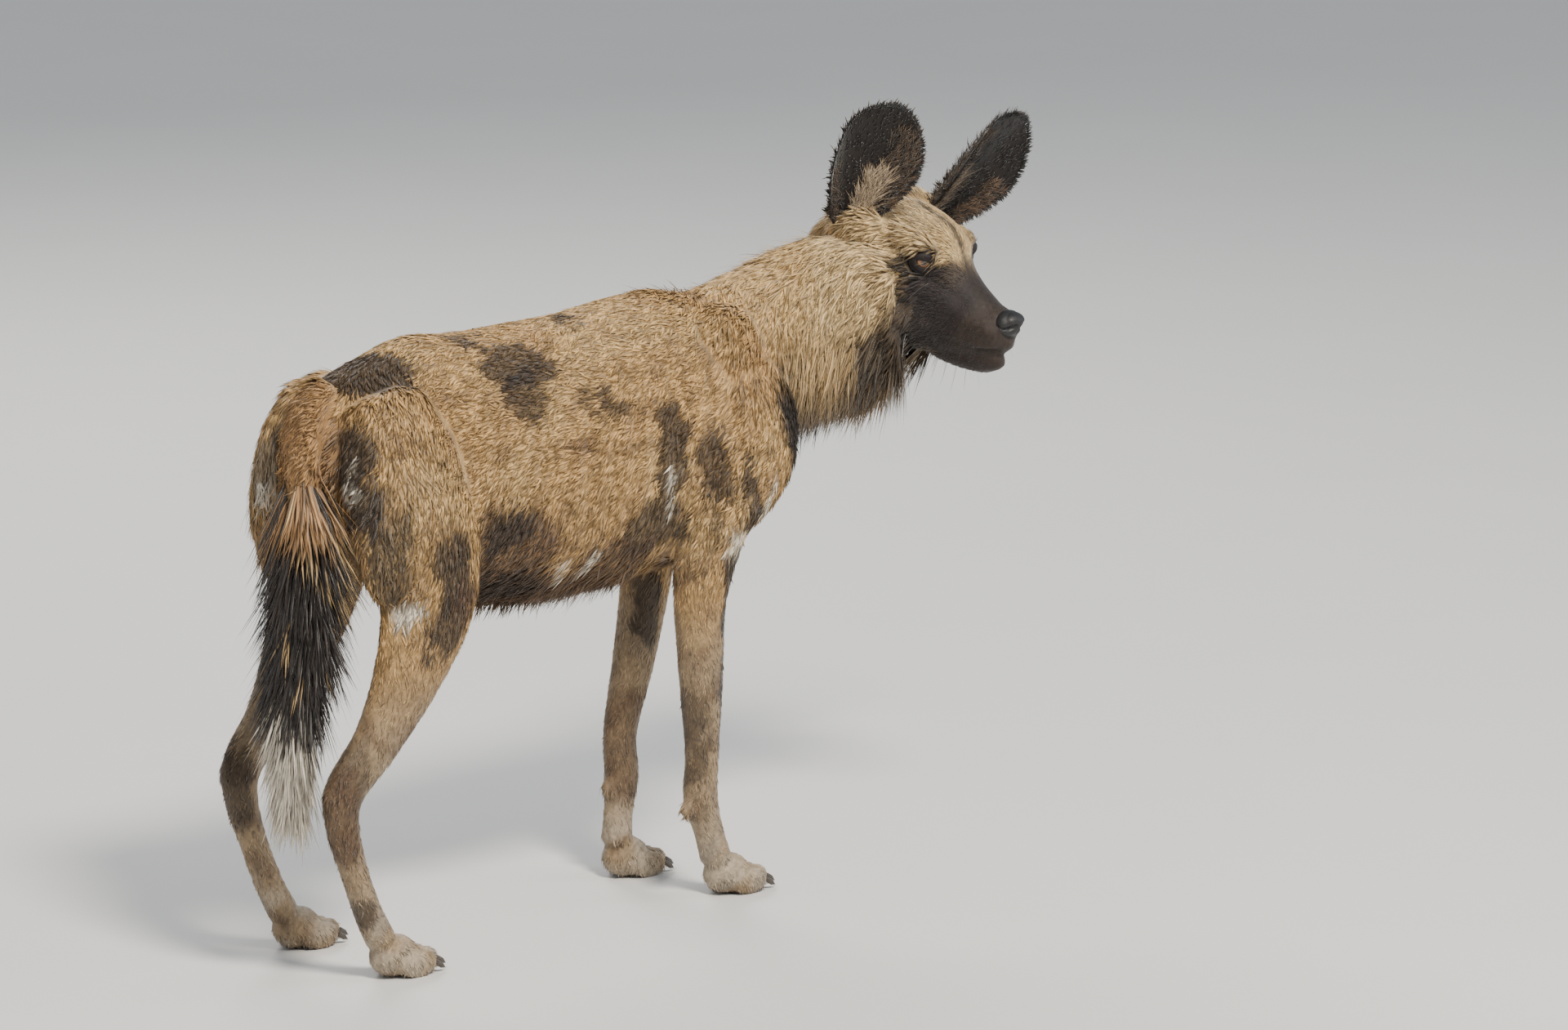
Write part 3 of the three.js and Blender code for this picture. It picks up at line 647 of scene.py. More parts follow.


# Colour, roughness and height of hair: a fleck of tone, and painted shade that darkens each hair towards
# its root, over the painted colour
def coatGroup():
    group = bpy.data.node_groups.new("coatToneAndRootShade", "ShaderNodeTree")
    face = group.interface
    face.new_socket("Colour", in_out="INPUT", socket_type="NodeSocketColor")
    face.new_socket("Along", in_out="INPUT", socket_type="NodeSocketFloat")
    face.new_socket("Fleck size", in_out="INPUT", socket_type="NodeSocketFloat")
    face.new_socket("Colour", in_out="OUTPUT", socket_type="NodeSocketColor")
    face.new_socket("Roughness", in_out="OUTPUT", socket_type="NodeSocketFloat")
    face.new_socket("Height", in_out="OUTPUT", socket_type="NodeSocketFloat")
    nodes, links = group.nodes, group.links
    given = nodes.new("NodeGroupInput")
    out = nodes.new("NodeGroupOutput")
    place = nodes.new("ShaderNodeTexCoord")
    noise = nodes.new("ShaderNodeTexNoise")
    setInputs(noise, {"Detail": 5, "Roughness": 0.65})
    links.new(place.outputs["Object"], noise.inputs["Vector"])
    links.new(given.outputs["Fleck size"], noise.inputs["Scale"])
    tone = nodes.new("ShaderNodeMapRange")
    setInputs(tone, {"From Min": 0.25, "From Max": 0.75, "To Min": 0.72, "To Max": 1.25})
    links.new(noise.outputs["Fac"], tone.inputs["Value"])
    # Painted shade deep in the coat: the colour is scaled to 0.62 at the root and 1.12 at the tip
    tip = nodes.new("ShaderNodeMapRange")
    setInputs(tip, {"To Min": 0.62, "To Max": 1.12})
    links.new(given.outputs["Along"], tip.inputs["Value"])
    both = nodes.new("ShaderNodeMath")
    both.operation = "MULTIPLY"
    links.new(tone.outputs["Result"], both.inputs[0])
    links.new(tip.outputs["Result"], both.inputs[1])
    shade = nodes.new("ShaderNodeVectorMath")
    shade.operation = "SCALE"
    links.new(given.outputs["Colour"], shade.inputs[0])
    links.new(both.outputs[0], shade.inputs["Scale"])
    links.new(shade.outputs[0], out.inputs["Colour"])
    rough = nodes.new("ShaderNodeMapRange")
    setInputs(rough, {"To Min": 0.5, "To Max": 0.72})
    links.new(noise.outputs["Fac"], rough.inputs["Value"])
    links.new(rough.outputs["Result"], out.inputs["Roughness"])
    links.new(noise.outputs["Fac"], out.inputs["Height"])
    return group


coatToneAndRootShade = coatGroup()


def coatMaterial(name, fleck, bump, sheen=0.15, along=True):
    material, nodes, links, shader = newMaterial(name)
    colour = nodes.new("ShaderNodeAttribute")
    colour.attribute_name = "coatColour"
    group = nodes.new("ShaderNodeGroup")
    group.node_tree = coatToneAndRootShade
    # Pieces without an along attribute, such as the skin, ears and lids, get the painted root shade at a
    # middle level
    setInputs(group, {"Fleck size": fleck, "Along": 0.55})
    links.new(colour.outputs["Color"], group.inputs["Colour"])
    if along:
        share = nodes.new("ShaderNodeAttribute")
        share.attribute_name = "along"
        links.new(share.outputs["Fac"], group.inputs["Along"])
    links.new(group.outputs["Colour"], shader.inputs["Base Color"])
    links.new(group.outputs["Roughness"], shader.inputs["Roughness"])
    setInputs(shader, {"Specular IOR Level": 0.3, "Sheen Weight": sheen, "Sheen Roughness": 0.4})
    height = nodes.new("ShaderNodeBump")
    setInputs(height, {"Strength": bump, "Distance": 0.001})
    links.new(group.outputs["Height"], height.inputs["Height"])
    links.new(height.outputs["Normal"], shader.inputs["Normal"])
    return material


# Two tones mixed by noise on object coordinates, with a fine bump
def plainMaterial(name, low, high, scale, roughness, bump, coatWeight=0.0):
    material, nodes, links, shader = newMaterial(name)
    place = nodes.new("ShaderNodeTexCoord")
    noise = nodes.new("ShaderNodeTexNoise")
    setInputs(noise, {"Scale": scale, "Detail": 6})
    mix = nodes.new("ShaderNodeMix")
    mix.data_type = "RGBA"
    setInputs(mix, {"A": (*low, 1), "B": (*high, 1)})
    height = nodes.new("ShaderNodeBump")
    setInputs(height, {"Strength": bump, "Distance": 0.0006})
    links.new(place.outputs["Object"], noise.inputs["Vector"])
    links.new(noise.outputs["Fac"], mix.inputs["Factor"])
    links.new(mix.outputs["Result"], shader.inputs["Base Color"])
    links.new(noise.outputs["Fac"], height.inputs["Height"])
    links.new(height.outputs["Normal"], shader.inputs["Normal"])
    setInputs(shader, {"Roughness": roughness, "Coat Weight": coatWeight, "Coat Roughness": 0.08})
    return material


skinMaterial = coatMaterial("skin", 420, 0.6, along=False)
hairMaterial = coatMaterial("hair", 160, 0.1)
longHairMaterial = coatMaterial("longHair", 90, 0.1, sheen=0.25)
noseMaterial = plainMaterial("nosePad", (0.003, 0.0027, 0.003), (0.011, 0.01, 0.011), 900, 0.5, 0.8, 0.05)
clawMaterial = plainMaterial("horn", (0.02, 0.017, 0.014), (0.09, 0.07, 0.055), 260, 0.4, 0.25)
padMaterial = plainMaterial("pad", (0.012, 0.011, 0.011), (0.05, 0.044, 0.04), 600, 0.6, 0.8)
whiskerMaterial = plainMaterial("whisker", (0.02, 0.017, 0.014), (0.06, 0.05, 0.04), 300, 0.4, 0.1)
skin.data.materials.append(skinMaterial)


# Brings a piece made in body-frame millimetres into the scene and ties it to the frame
def place(piece, nodes, slot):
    piece.data.transform(Matrix.Translation(Vector(floorShift / 1000)) @ Matrix.Scale(0.001, 4))
    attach(piece, "root")
    if nodes:
        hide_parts(*nodes)


# Tufts: thin closed blades, flattened, tapered and bent along the lie of the coat
# One closed blade per entry; rings are blades by rows by 3 corners, and each blade has a tip
def ringMesh(name, rings, tips, colours, shares, uv, material):
    count, rows = rings.shape[:2]
    each = rows * 3 + 1
    verts = np.concatenate([rings.reshape(count, rows * 3, 3), tips[:, None]], axis=1).reshape(-1, 3)
    sides = []
    for row in range(rows - 1):
        for k in range(3):
            a, b = row * 3 + k, row * 3 + (k + 1) % 3
            sides.append([a, b, b + 3, a + 3])
    last = (rows - 1) * 3
    tip = last + 3
    ends = [[last, last + 1, tip], [last + 1, last + 2, tip], [last + 2, last, tip], [2, 1, 0]]
    one = np.array([i for face in sides + ends for i in face])
    totals = np.array([4] * len(sides) + [3] * len(ends))
    loops = (one[None] + (np.arange(count) * each)[:, None]).ravel()
    totals = np.tile(totals, count)
    starts = np.concatenate([[0], np.cumsum(totals)[:-1]])
    mesh = bpy.data.meshes.new(name)
    mesh.vertices.add(len(verts))
    mesh.vertices.foreach_set("co", verts.ravel())
    mesh.loops.add(len(loops))
    mesh.loops.foreach_set("vertex_index", loops.astype(np.int32))
    mesh.polygons.add(len(starts))
    mesh.polygons.foreach_set("loop_start", starts.astype(np.int32))
    mesh.polygons.foreach_set("loop_total", totals.astype(np.int32))
    mesh.update(calc_edges=True)
    mesh.polygons.foreach_set("use_smooth", [True] * len(mesh.polygons))
    setColour(mesh, "coatColour", np.repeat(colours, each, axis=0))
    # Share along each blade, which the coat material turns into painted shade at the roots
    setShare(mesh, "along", np.tile(np.append(np.repeat(shares, 3), 1.0), count))
    layer = mesh.uv_layers.new(name="OFBake")
    corner = np.concatenate([np.tile([[0, 0], [1, 0], [0.5, 0.5]], (rows, 1)) * 0.5, [[0.5, 1]]])
    corner = corner + np.append(np.repeat(shares, 3), 0.0)[:, None] * np.array([[0, 0.5]])
    spread = (uv[:, None, :] + 0.003 * corner[None]).reshape(-1, 2)
    layer.data.foreach_set("uv", spread[loops].ravel())
    mesh.materials.append(material)
    return meshObject(name, mesh)


def blades(name, root, normal, way, length, width, colours, uv, material, rows, lift, sag, curl):
    count = len(root)
    length, width = length[:, None], width[:, None]
    side = unit(np.cross(normal, way))
    bend = chance.uniform(-1, 1, (count, 1)) * curl
    shares = np.linspace(0, 1, rows + 1)[:-1]
    rings = []
    for s in np.append(shares, 1.0):
        centre = root + way * length * s + side * bend * length * s * s
        centre = centre + normal * length * lift * s * (1 - 0.55 * s)
        centre[:, 2] -= (sag * length * s * s)[:, 0]
        centre[:, 2] = np.maximum(centre[:, 2], lowest)
        half = width * (0.75 + 0.7 * s - 1.25 * s * s)
        ridge = centre + normal * half * 0.3
        rings.append(np.stack([centre - side * half, centre + side * half, ridge], axis=1))
    tips = rings.pop()[:, 2]
    return ringMesh(name, np.stack(rings, axis=1), tips, colours, shares, uv, material)


bakeCells = {name: (k % 4, k // 4) for k, name in enumerate(formNames)}


# Where a point lies on an unwrap of the skin: round and along its own form, one cell each
def bakePlace(p, away, share):
    uv = np.zeros((len(p), 2))
    nearest = away.argmin(axis=0)
    for k, name in enumerate(formNames):
        own = nearest == k
        if own.any():
            row, side, up, _ = framesAt(forms[name], share[k][own])
            out = p[own] - row[:, :3]
            angle = np.arctan2(np.sum(out * up, axis=1), np.sum(out * side, axis=1)) / fullTurn + 0.5
            column, line = bakeCells[name]
            uv[own, 0] = (column + 0.03 + 0.93 * angle) / 4
            uv[own, 1] = (line + 0.03 + 0.93 * share[k][own]) / 3
    return uv


skin.data.calc_loop_triangles()
triangles = np.empty(len(skin.data.loop_triangles) * 3, dtype=np.int32)
skin.data.loop_triangles.foreach_get("vertices", triangles)
triangles = triangles.reshape(-1, 3)
skinUv = bakePlace(skinPoints, away, share)
triangleArea = 0.5 * np.linalg.norm(
    np.cross(
        skinPoints[triangles[:, 1]] - skinPoints[triangles[:, 0]],
        skinPoints[triangles[:, 2]] - skinPoints[triangles[:, 0]],
    ),
    axis=1,
)


# Roots spread over the skin, as many as weight says at each place
def scatter(weight, count):
    chosen = triangleArea * weight[triangles].mean(axis=1)
    picked = chance.choice(len(triangles), size=count, p=chosen / chosen.sum())
    mixing = chance.dirichlet((1, 1, 1), count)
    corners = triangles[picked]

    def read(values):
        return np.einsum("ij,ijk->ik", mixing, values[corners])

    root, normal = read(skinPoints), unit(read(skinNormals))
    way = unit(read(flow) - normal * np.sum(read(flow) * normal, axis=1, keepdims=True))
    length = np.sum(mixing * hairLength[corners], axis=1)
    return root, normal, way, length, read(skinColour), skinUv[corners[:, 0]]


skinHead = toHead(skinPoints)
aroundEye = np.min([np.linalg.norm(skinPoints - c, axis=1) for c in eyeAt.values()], axis=0)
isHead = (away.argmin(axis=0) == formNames.index("head")).astype(float)
onNosePad = smooth(skinHead[:, 0], 136, 146) * isHead
bare = np.maximum.reduce([onNosePad, smooth(18.5 - aroundEye, 0, 3), smooth(3 - skinPoints[:, 2], 0, 2)])
coverage = 1 - bare
legs = np.isin(away.argmin(axis=0), [formNames.index(n) for n in pawAt])
lowLeg = legs * smooth(400 - skinPoints[:, 2], 0, 60)
tailPart = (away.argmin(axis=0) == formNames.index("tail")).astype(float)
neckPart = (away.argmin(axis=0) == formNames.index("neck")).astype(float)
trunkPart = np.clip(1 - isHead - lowLeg - tailPart - neckPart, 0, 1)

coats = {  # where, how many tufts, their width and their lift
    "coat_trunk_1": (trunkPart, 12800, 1.8, 0.2),
    "coat_trunk_2": (trunkPart, 12800, 1.8, 0.2),
    "coat_trunk_3": (trunkPart, 13500, 1.6, 0.26),
    "coat_trunk_4": (trunkPart, 13500, 1.5, 0.3),
    "coat_neck": (neckPart, 13000, 1.9, 0.3),
    "coat_head": (isHead, 12500, 0.95, 0.22),
    "coat_face": (isHead * (0.25 + smooth(skinHead[:, 0], 10, 60)), 13000, 0.75, 0.34),
    "coat_tail_root": (tailPart * smooth(skinPoints[:, 2], 440, 490), 3500, 1.3, 0.3),
    "coat_legs_1": (lowLeg, 11000, 1.15, 0.22),
    "coat_legs_2": (lowLeg, 9000, 1.0, 0.3),
}
for name, (part, count, width, lift) in coats.items():
    root, normal, way, length, colours, uv = scatter(part * coverage, count)
    size = length * chance.uniform(0.7, 1.25, count)
    tone = colours * chance.uniform(0.62, 1.38, (count, 1))
    wide = width * np.clip(size / 14, 0.35, 1.2) * chance.uniform(0.7, 1.3, count)
    wander = way + 0.2 * chance.normal(size=way.shape)
    way = unit(wander - normal * np.sum(wander * normal, axis=1, keepdims=True))
    root = root - normal * 1.0
    coat = blades(name, root, normal, way, size, wide, tone, uv, hairMaterial, 2, lift, 0.05, 0.25)
    slot = "head_coat" if name in ("coat_head", "coat_face") else "leg_coat" if "legs" in name else "coat"
    place(coat, [], slot)
print("short coat grown")


# Long hair: throat ruff, nape, belly fringe and the back of the thighs
def longTufts(name, weight, count, length, width, lift, sag, slot, down, strands=3):
    root, normal, way, _, colours, uv = scatter(weight * coverage, count)
    repeated = [np.repeat(v, strands, axis=0) for v in (root, normal, way, colours, uv)]
    root, normal, way, colours, uv = repeated
    total = len(root)
    way = unit(way + np.array([0, 0, -down]) + 0.16 * chance.normal(size=way.shape))
    size = np.repeat(length * chance.uniform(0.65, 1.2, count), strands) * chance.uniform(0.8, 1.1, total)
    root = root - normal * 2 + 1.6 * chance.normal(size=root.shape)
    tone = colours * chance.uniform(0.65, 1.35, (total, 1))
    wide = width * chance.uniform(0.6, 1.3, total)
    hair = blades(name, root, normal, way, size, wide, tone, uv, longHairMaterial, 3, lift, sag, 0.3)
    place(hair, [], slot)


x, y, z = skinPoints.T
throat = (neckPart + isHead * 0.8) * smooth(592 - z, 0, 30) * smooth(-skinNormals[:, 2], -0.3, 0.35)
throat = throat * (1 - smooth(skinHead[:, 0], 40, 70)) * smooth(x, 300, 345)
longTufts("ruff", throat, 1600, 50, 1.15, 0.3, 0.3, "dark_brush", 0.9, strands=4)
nape = neckPart * smooth(z, 590, 640)
longTufts("nape", nape, 700, 32, 0.9, 0.35, 0.0, "coat", 0.0)
belly = trunkPart * smooth(385 - z, 0, 30) * smooth(200 - np.abs(x + 10), 0, 60)
belly = belly * smooth(-skinNormals[:, 2], 0, 0.5)
longTufts("belly_fringe", belly, 500, 26, 0.8, 0.2, 0.15, "coat", 0.5)
thigh = trunkPart * smooth(-x, 245, 280) * smooth(z, 330, 400)
longTufts("thigh_fringe", thigh, 600, 26, 0.9, 0.35, 0.1, "coat", 0.6)
print("long hair grown")


# Tail brush: long locks all round the tail, orange above, dark in the middle, pale at the tip, with painted
# light: gold locks on the side towards the key light
brush = {  # lengths in millimetres, the colours' limits as heights above the floor
    "locks": 1100,
    "strands": 5,
    "length": 84,
    "tipShorter": 14,
    "width": 1.6,
    "flare": 0.34,
    "darkBelow": 475,
    "paleBelow": 282,
}


def tailBrush():
    count, strands = brush["locks"], brush["strands"]
    t = 0.34 + 0.64 * np.sort(chance.random(count))
    angle = chance.uniform(0, fullTurn, count)
    row, side, up, along = framesAt(forms["tail"], t)
    out = side * np.cos(angle)[:, None] + up * np.sin(angle)[:, None]
    across, deep = row[:, 3] * 0.8, 0.4 * (row[:, 4] + row[:, 5])
    root = row[:, :3] + side * (np.cos(angle) * across)[:, None] + up * (np.sin(angle) * deep)[:, None]
    flare = brush["flare"] * (1 - smooth(t, 0.55, 0.95)) + 0.1
    way = unit(along + out * flare[:, None] + 0.05 * chance.normal(size=root.shape))
    size = (brush["length"] - brush["tipShorter"] * smooth(t, 0.6, 1.0)) * chance.uniform(0.7, 1.15, count)
    height = root[:, 2] - size * 0.35
    tone = np.tile(orange, (count, 1))
    ragged = height + 14 * chance.normal(size=count)
    tone = np.where((ragged < brush["darkBelow"])[:, None], dark, tone)
    # Painted light: a share of the locks on the side towards the key light is painted gold
    paintedLitLocks = (chance.random(count) < 0.22 * smooth(-out[:, 1], 0.1, 0.8)) & (ragged > 330)
    tone = np.where(paintedLitLocks[:, None], gold, tone)
    tone = np.where((ragged < brush["paleBelow"])[:, None], pale, tone)
    isTail = np.array(formNames)[:, None] == "tail"
    uv = bakePlace(root, np.where(isTail, 0.0, 9.0) + 0 * t, np.tile(t, (len(forms), 1)))
    root, normal, way, tone, uv = (np.repeat(v, strands, axis=0) for v in (root, out, way, tone, uv))
    size = np.repeat(size, strands) * chance.uniform(0.75, 1.1, count * strands)
    root = root + 2.4 * chance.normal(size=root.shape)
    way = unit(way + 0.06 * chance.normal(size=way.shape))
    tone = tone * chance.uniform(0.6, 1.35, (len(tone), 1))
    wide = brush["width"] * chance.uniform(0.6, 1.3, len(root))
    half = len(root) // 2
    for name, part in (("tail_brush_hair", slice(0, half)), ("tail_tip_hair", slice(half, None))):
        hair = blades(
            name, root[part], normal[part], way[part], size[part], wide[part], tone[part], uv[part],
            longHairMaterial, 3, 0.14, 0.04, 0.16,
        )
        node = "tail_brush" if name == "tail_brush_hair" else "tail_tip"
        place(hair, [node], "dark_brush" if node == "tail_brush" else "pale_brush")


tailBrush()
print("tail grown")

# Ears: a sheet bent to a round cup, with a dark inside, pale tufts at the front and a dark rim
ear = {"length": 158, "width": 112, "thickness": 2.6}
earPose = {
    "right": {"at": (-31, -57, 33), "turn": -30, "splay": 12, "lean": 12, "s": -1},
    "left": {"at": (-20, 60, 18), "turn": -10, "splay": -20, "lean": 19, "s": 1},
}


# Points of the ear's middle sheet for across and up in -1..1, in the body frame
def earSurface(pose, across, up, depth=0.0):
    u = across * np.sqrt(1 - up**2 / 2)
    w = up * np.sqrt(1 - across**2 / 2)
    v = (w + 1) / 2
    narrow = 1 - 0.36 * smooth(-w, -0.35, 1)
    arc = 1.35 - 0.75 * v
    wide = ear["width"] / 2 * narrow
    ripple = 1.4 * np.sin(7 * u + 2) * smooth(v, 0.1, 0.6)
    x = wide * (1 - np.cos(u * arc)) / arc + 10 * v * v + (depth + ripple) * np.cos(u * arc)
    y = wide * np.sin(u * arc) / arc - (depth + ripple) * np.sin(u * arc)
    z = ear["length"] * v - 8 * u * u * (1 - v)
    turn = (
        Matrix.Rotation(math.radians(pose["lean"]), 3, "Y")
        @ Matrix.Rotation(math.radians(pose["splay"]), 3, "X")
        @ Matrix.Rotation(math.radians(pose["turn"]), 3, "Z")
    )
    p = np.stack([x, y, z], axis=1) @ np.array(turn).T
    return fromHead(p + np.array(pose["at"]))


def makeEar(name, pose):
    bm = bmesh.new()
    bmesh.ops.create_grid(bm, x_segments=56, y_segments=56, size=1)
    flat = np.array([v.co[:] for v in bm.verts])
    mid = earSurface(pose, flat[:, 0], flat[:, 1])
    for v, co in zip(bm.verts, mid):
        v.co = co
    bmesh.ops.solidify(bm, geom=bm.faces[:], thickness=ear["thickness"])
    bmesh.ops.recalc_face_normals(bm, faces=bm.faces[:])
    piece = objectFrom(name, bm)
    applied(piece, smooth={"factor": 0.5, "iterations": 2})
    p = points(piece.data)
    nearest = ((p[:, None] - mid[None, ::7]) ** 2).sum(axis=2).argmin(axis=1) * 7
    u, v = flat[nearest, :2].T
    inward = unit(earSurface(pose, flat[:, 0], flat[:, 1], 1.0) - mid)[nearest]
    facing = np.sum(vertexNormals(piece.data) * inward, axis=1)
    inside = smooth(facing, -0.2, 0.3)
    rim = smooth(np.maximum(np.abs(u), np.abs(v)) + 0.05 * wave(p, 20, 50), 0.84, 0.97)
    front = -pose["s"] * u  # the margin next to the forehead
    warm = 0.35 * smooth(-front + 0.3 * wave(p, 30, 51), 0.5, 1.0) * smooth(0.4 - v, 0, 0.8)
    colour = np.where(inside[:, None] > 0.5, colourOf("1b1615"), colourOf("5b4733"))
    mottle = smooth(wave(p, 22, 52), -0.2, 0.6)[:, None]
    colour = np.where(inside[:, None] > 0.5, colour, colour * (1 - 0.5 * mottle))
    colour = colour * (1 - 0.6 * warm[:, None]) + colourOf("8a6a48") * 0.6 * warm[:, None]
    colour = colour * (1 - rim[:, None]) + colourOf("17120f") * rim[:, None]
    setColour(piece.data, "coatColour", colour)
    piece.data.materials.append(skinMaterial)
    return piece


# Soft hair inside the front margin, short hair round the rim and over the back
def earHair(name, pose):
    s = pose["s"]
    parts = []
    kinds = (  # count, across, up, length, width, colour, side, strands
        (190, (0.1, 0.6), (-0.95, -0.2), 34, 0.4, colourOf("a8947a"), 1, 4),
        (250, (0.3, 0.95), (-0.7, 0.6), 22, 0.45, colourOf("574534"), 1, 3),
        (180, (-0.95, -0.6), (-0.95, 0.1), 15, 0.5, colourOf("5d4733"), 1, 3),
        (900, (-0.9, 0.9), (-0.85, 0.95), 9, 0.8, colourOf("151111"), 1, 1),
        (1300, (-0.98, 0.98), (-0.95, 0.98), 12, 1.1, colourOf("40311f"), -1, 1),
    )
    for count, across, up, length, width, tone, face, strands in kinds:
        u = -s * chance.uniform(*across, count)
        v = chance.uniform(*up, count)
        parts.append((np.repeat(u, strands), np.repeat(v, strands), length, width, tone, face, 0.0))
    turn = chance.uniform(0, fullTurn, 1300)
    edge = np.maximum(np.abs(np.cos(turn)), np.abs(np.sin(turn)))
    parts.append((np.cos(turn) / edge, np.sin(turn) / edge, 7, 0.85, colourOf("15110f"), 1, 1.0))
    root, normal, way, size, wide, colours = [], [], [], [], [], []
    for u, v, length, width, tone, face, outward in parts:
        n = len(u)
        u = np.clip(u + 0.012 * chance.normal(size=n), -1, 1)
        v = np.clip(v + 0.012 * chance.normal(size=n), -1, 1)
        base = earSurface(pose, u, v)
        inward = unit(earSurface(pose, u, v, 1.0) - base) * face
        above = earSurface(pose, u, np.clip(v + 0.02, -1, 1))
        below = earSurface(pose, u, np.clip(v - 0.02, -1, 1))
        rise = unit(above - below)
        middle = earSurface(pose, 0 * u, 0 * v)
        spread = unit(base - middle)
        keep = smooth(v + 1, 0.02, 0.1)
        root.append(base + inward * ear["thickness"] * 0.4)
        normal.append(inward)
        turned = rise * (1 - outward) * (0.9 if length > 20 else 0.7) + spread * (0.35 + outward)
        if length > 30:
            turned = turned + unit(middle - base) * 0.55 + rise * 0.3
        way.append(unit(turned + 0.22 * chance.normal(size=base.shape)))
        size.append(length * chance.uniform(0.5, 1.2, n) * (0.5 + 0.5 * keep))
        wide.append(width * chance.uniform(0.6, 1.3, n))
        colours.append(tone * chance.uniform(0.55, 1.35, (n, 1)))
    root, normal, way, colours = (np.concatenate(v) for v in (root, normal, way, colours))
    size, wide = np.concatenate(size), np.concatenate(wide)
    column = 0 if s < 0 else 0.5
    flatUv = np.concatenate([np.stack([v[0], v[1]], axis=1) for v in parts]) * 0.5 + 0.5
    uv = flatUv * np.array([0.48, 0.3]) + np.array([column, 0.68])
    hair = blades(name, root, normal, way, size, wide, colours, uv, longHairMaterial, 2, 0.3, 0.02, 0.35)
    place(hair, [], "ear_fur")


for name, pose in earPose.items():
    piece = makeEar(f"ear_{name}_sheet", pose)
    place(piece, [f"ear_{name}"], "ear_fur")
    earHair(f"ear_{name}_hair", pose)
print("ears made")


# Eyes: a glossy ball with iris and pupil, in dark lids with an almond opening
def eyeMaterial(centre, gaze):
    material, nodes, links, shader = newMaterial("eye")
    where = nodes.new("ShaderNodeTexCoord")
    offset = nodes.new("ShaderNodeVectorMath")
    offset.operation = "SUBTRACT"
    offset.inputs[1].default_value = centre
    toward = nodes.new("ShaderNodeVectorMath")
    toward.operation = "DOT_PRODUCT"
    toward.inputs[1].default_value = gaze
    links.new(where.outputs["Object"], offset.inputs[0])
    links.new(offset.outputs[0], toward.inputs[0])
    scaled = nodes.new("ShaderNodeMath")
    scaled.operation = "DIVIDE"
    scaled.inputs[1].default_value = eyeRadius / 1000
    links.new(toward.outputs["Value"], scaled.inputs[0])
    ramp = nodes.new("ShaderNodeValToRGB")
    stops = (
        (0.0, (0.06, 0.03, 0.02)),
        (0.76, (0.05, 0.025, 0.012)),
        (0.79, (0.1, 0.042, 0.012)),
        (0.88, (0.24, 0.1, 0.026)),
        (0.945, (0.13, 0.05, 0.014)),
        (0.96, (0.004, 0.003, 0.003)),
        (1.0, (0.002, 0.002, 0.002)),
    )
    while len(ramp.color_ramp.elements) < len(stops):
        ramp.color_ramp.elements.new(0.5)
    for element, (at, colour) in zip(ramp.color_ramp.elements, stops):
        element.position = at
        element.color = (*colour, 1)
    links.new(scaled.outputs[0], ramp.inputs["Fac"])
    links.new(ramp.outputs["Color"], shader.inputs["Base Color"])
    setInputs(shader, {"Roughness": 0.08, "Coat Weight": 1.0, "Coat Roughness": 0.02})
    return material


eyeGaze = {s: unit(headTurn @ (eye["gaze"] * mirror[s])) for s in (-1, 1)}
for name, s in (("right", -1), ("left", 1)):
    gaze = eyeGaze[s]
    bm = bmesh.new()
    bmesh.ops.create_uvsphere(bm, u_segments=48, v_segments=32, radius=eyeRadius * 0.985)
    bmesh.ops.translate(bm, verts=bm.verts[:], vec=eyeAt[s])
    ball = objectFrom(f"eyeball_{name}", bm)
    ball.data.materials.append(eyeMaterial((eyeAt[s] + floorShift) / 1000, gaze))
    place(ball, [f"eye_{name}"], "eye")

    # Lids: a shell from the almond edge out to where it goes under the skin
    upHead = unit(headTurn[:, 2] - gaze * (headTurn[:, 2] @ gaze))
    toNose = unit(headTurn[:, 0] - gaze * (headTurn[:, 0] @ gaze))
    bm = bmesh.new()
    bmesh.ops.create_grid(bm, x_segments=72, y_segments=10, size=0.5)
    flat = np.array([v.co[:] for v in bm.verts]) + 0.5
    around, outward = flat[:, 0] * 2 * math.pi, flat[:, 1]
    level = np.sin(around)
    wideEdge = np.radians(eye["corner"])
    tall = np.where(level > 0, np.radians(eye["upperLid"]), np.radians(eye["lowerLid"]))
    edge = 1 / np.sqrt((np.cos(around) / wideEdge) ** 2 + (level / tall) ** 2)
    edge = edge * (1 - 0.1 * np.cos(around * 2) * (level < 0))
    angle = edge * (1 - outward) + np.radians(eye["lidEnd"]) * outward
    thick = 1.9 * np.sin(np.clip(outward * 2.4, 0, 1) * math.pi * 0.5)
    radius = eyeRadius + 0.25 + thick + 1.1 * (level > 0) * outward
    radius = radius + 1.2 * np.exp(-((outward - 0.3) ** 2) / 0.01) * smooth(level, 0, 0.6)
    turned = around + np.radians(eye["tilt"])
    way = (
        gaze * np.cos(angle)[:, None]
        + toNose * (np.cos(turned) * np.sin(angle))[:, None]
        + upHead * (np.sin(turned) * np.sin(angle))[:, None]
    )
    for v, co in zip(bm.verts, eyeAt[s] + way * radius[:, None]):
        v.co = co
    bmesh.ops.remove_doubles(bm, verts=bm.verts[:], dist=0.02)
    bmesh.ops.solidify(bm, geom=bm.faces[:], thickness=0.7)
    bmesh.ops.recalc_face_normals(bm, faces=bm.faces[:])
    lids = objectFrom(f"lids_{name}", bm)
    applied(lids, smooth={"factor": 0.4, "iterations": 1})
    setColour(lids.data, "coatColour", np.tile(colourOf("1c1516"), (len(lids.data.vertices), 1)))
    lids.data.materials.append(skinMaterial)
    place(lids, [], "head_coat")
print("eyes made")

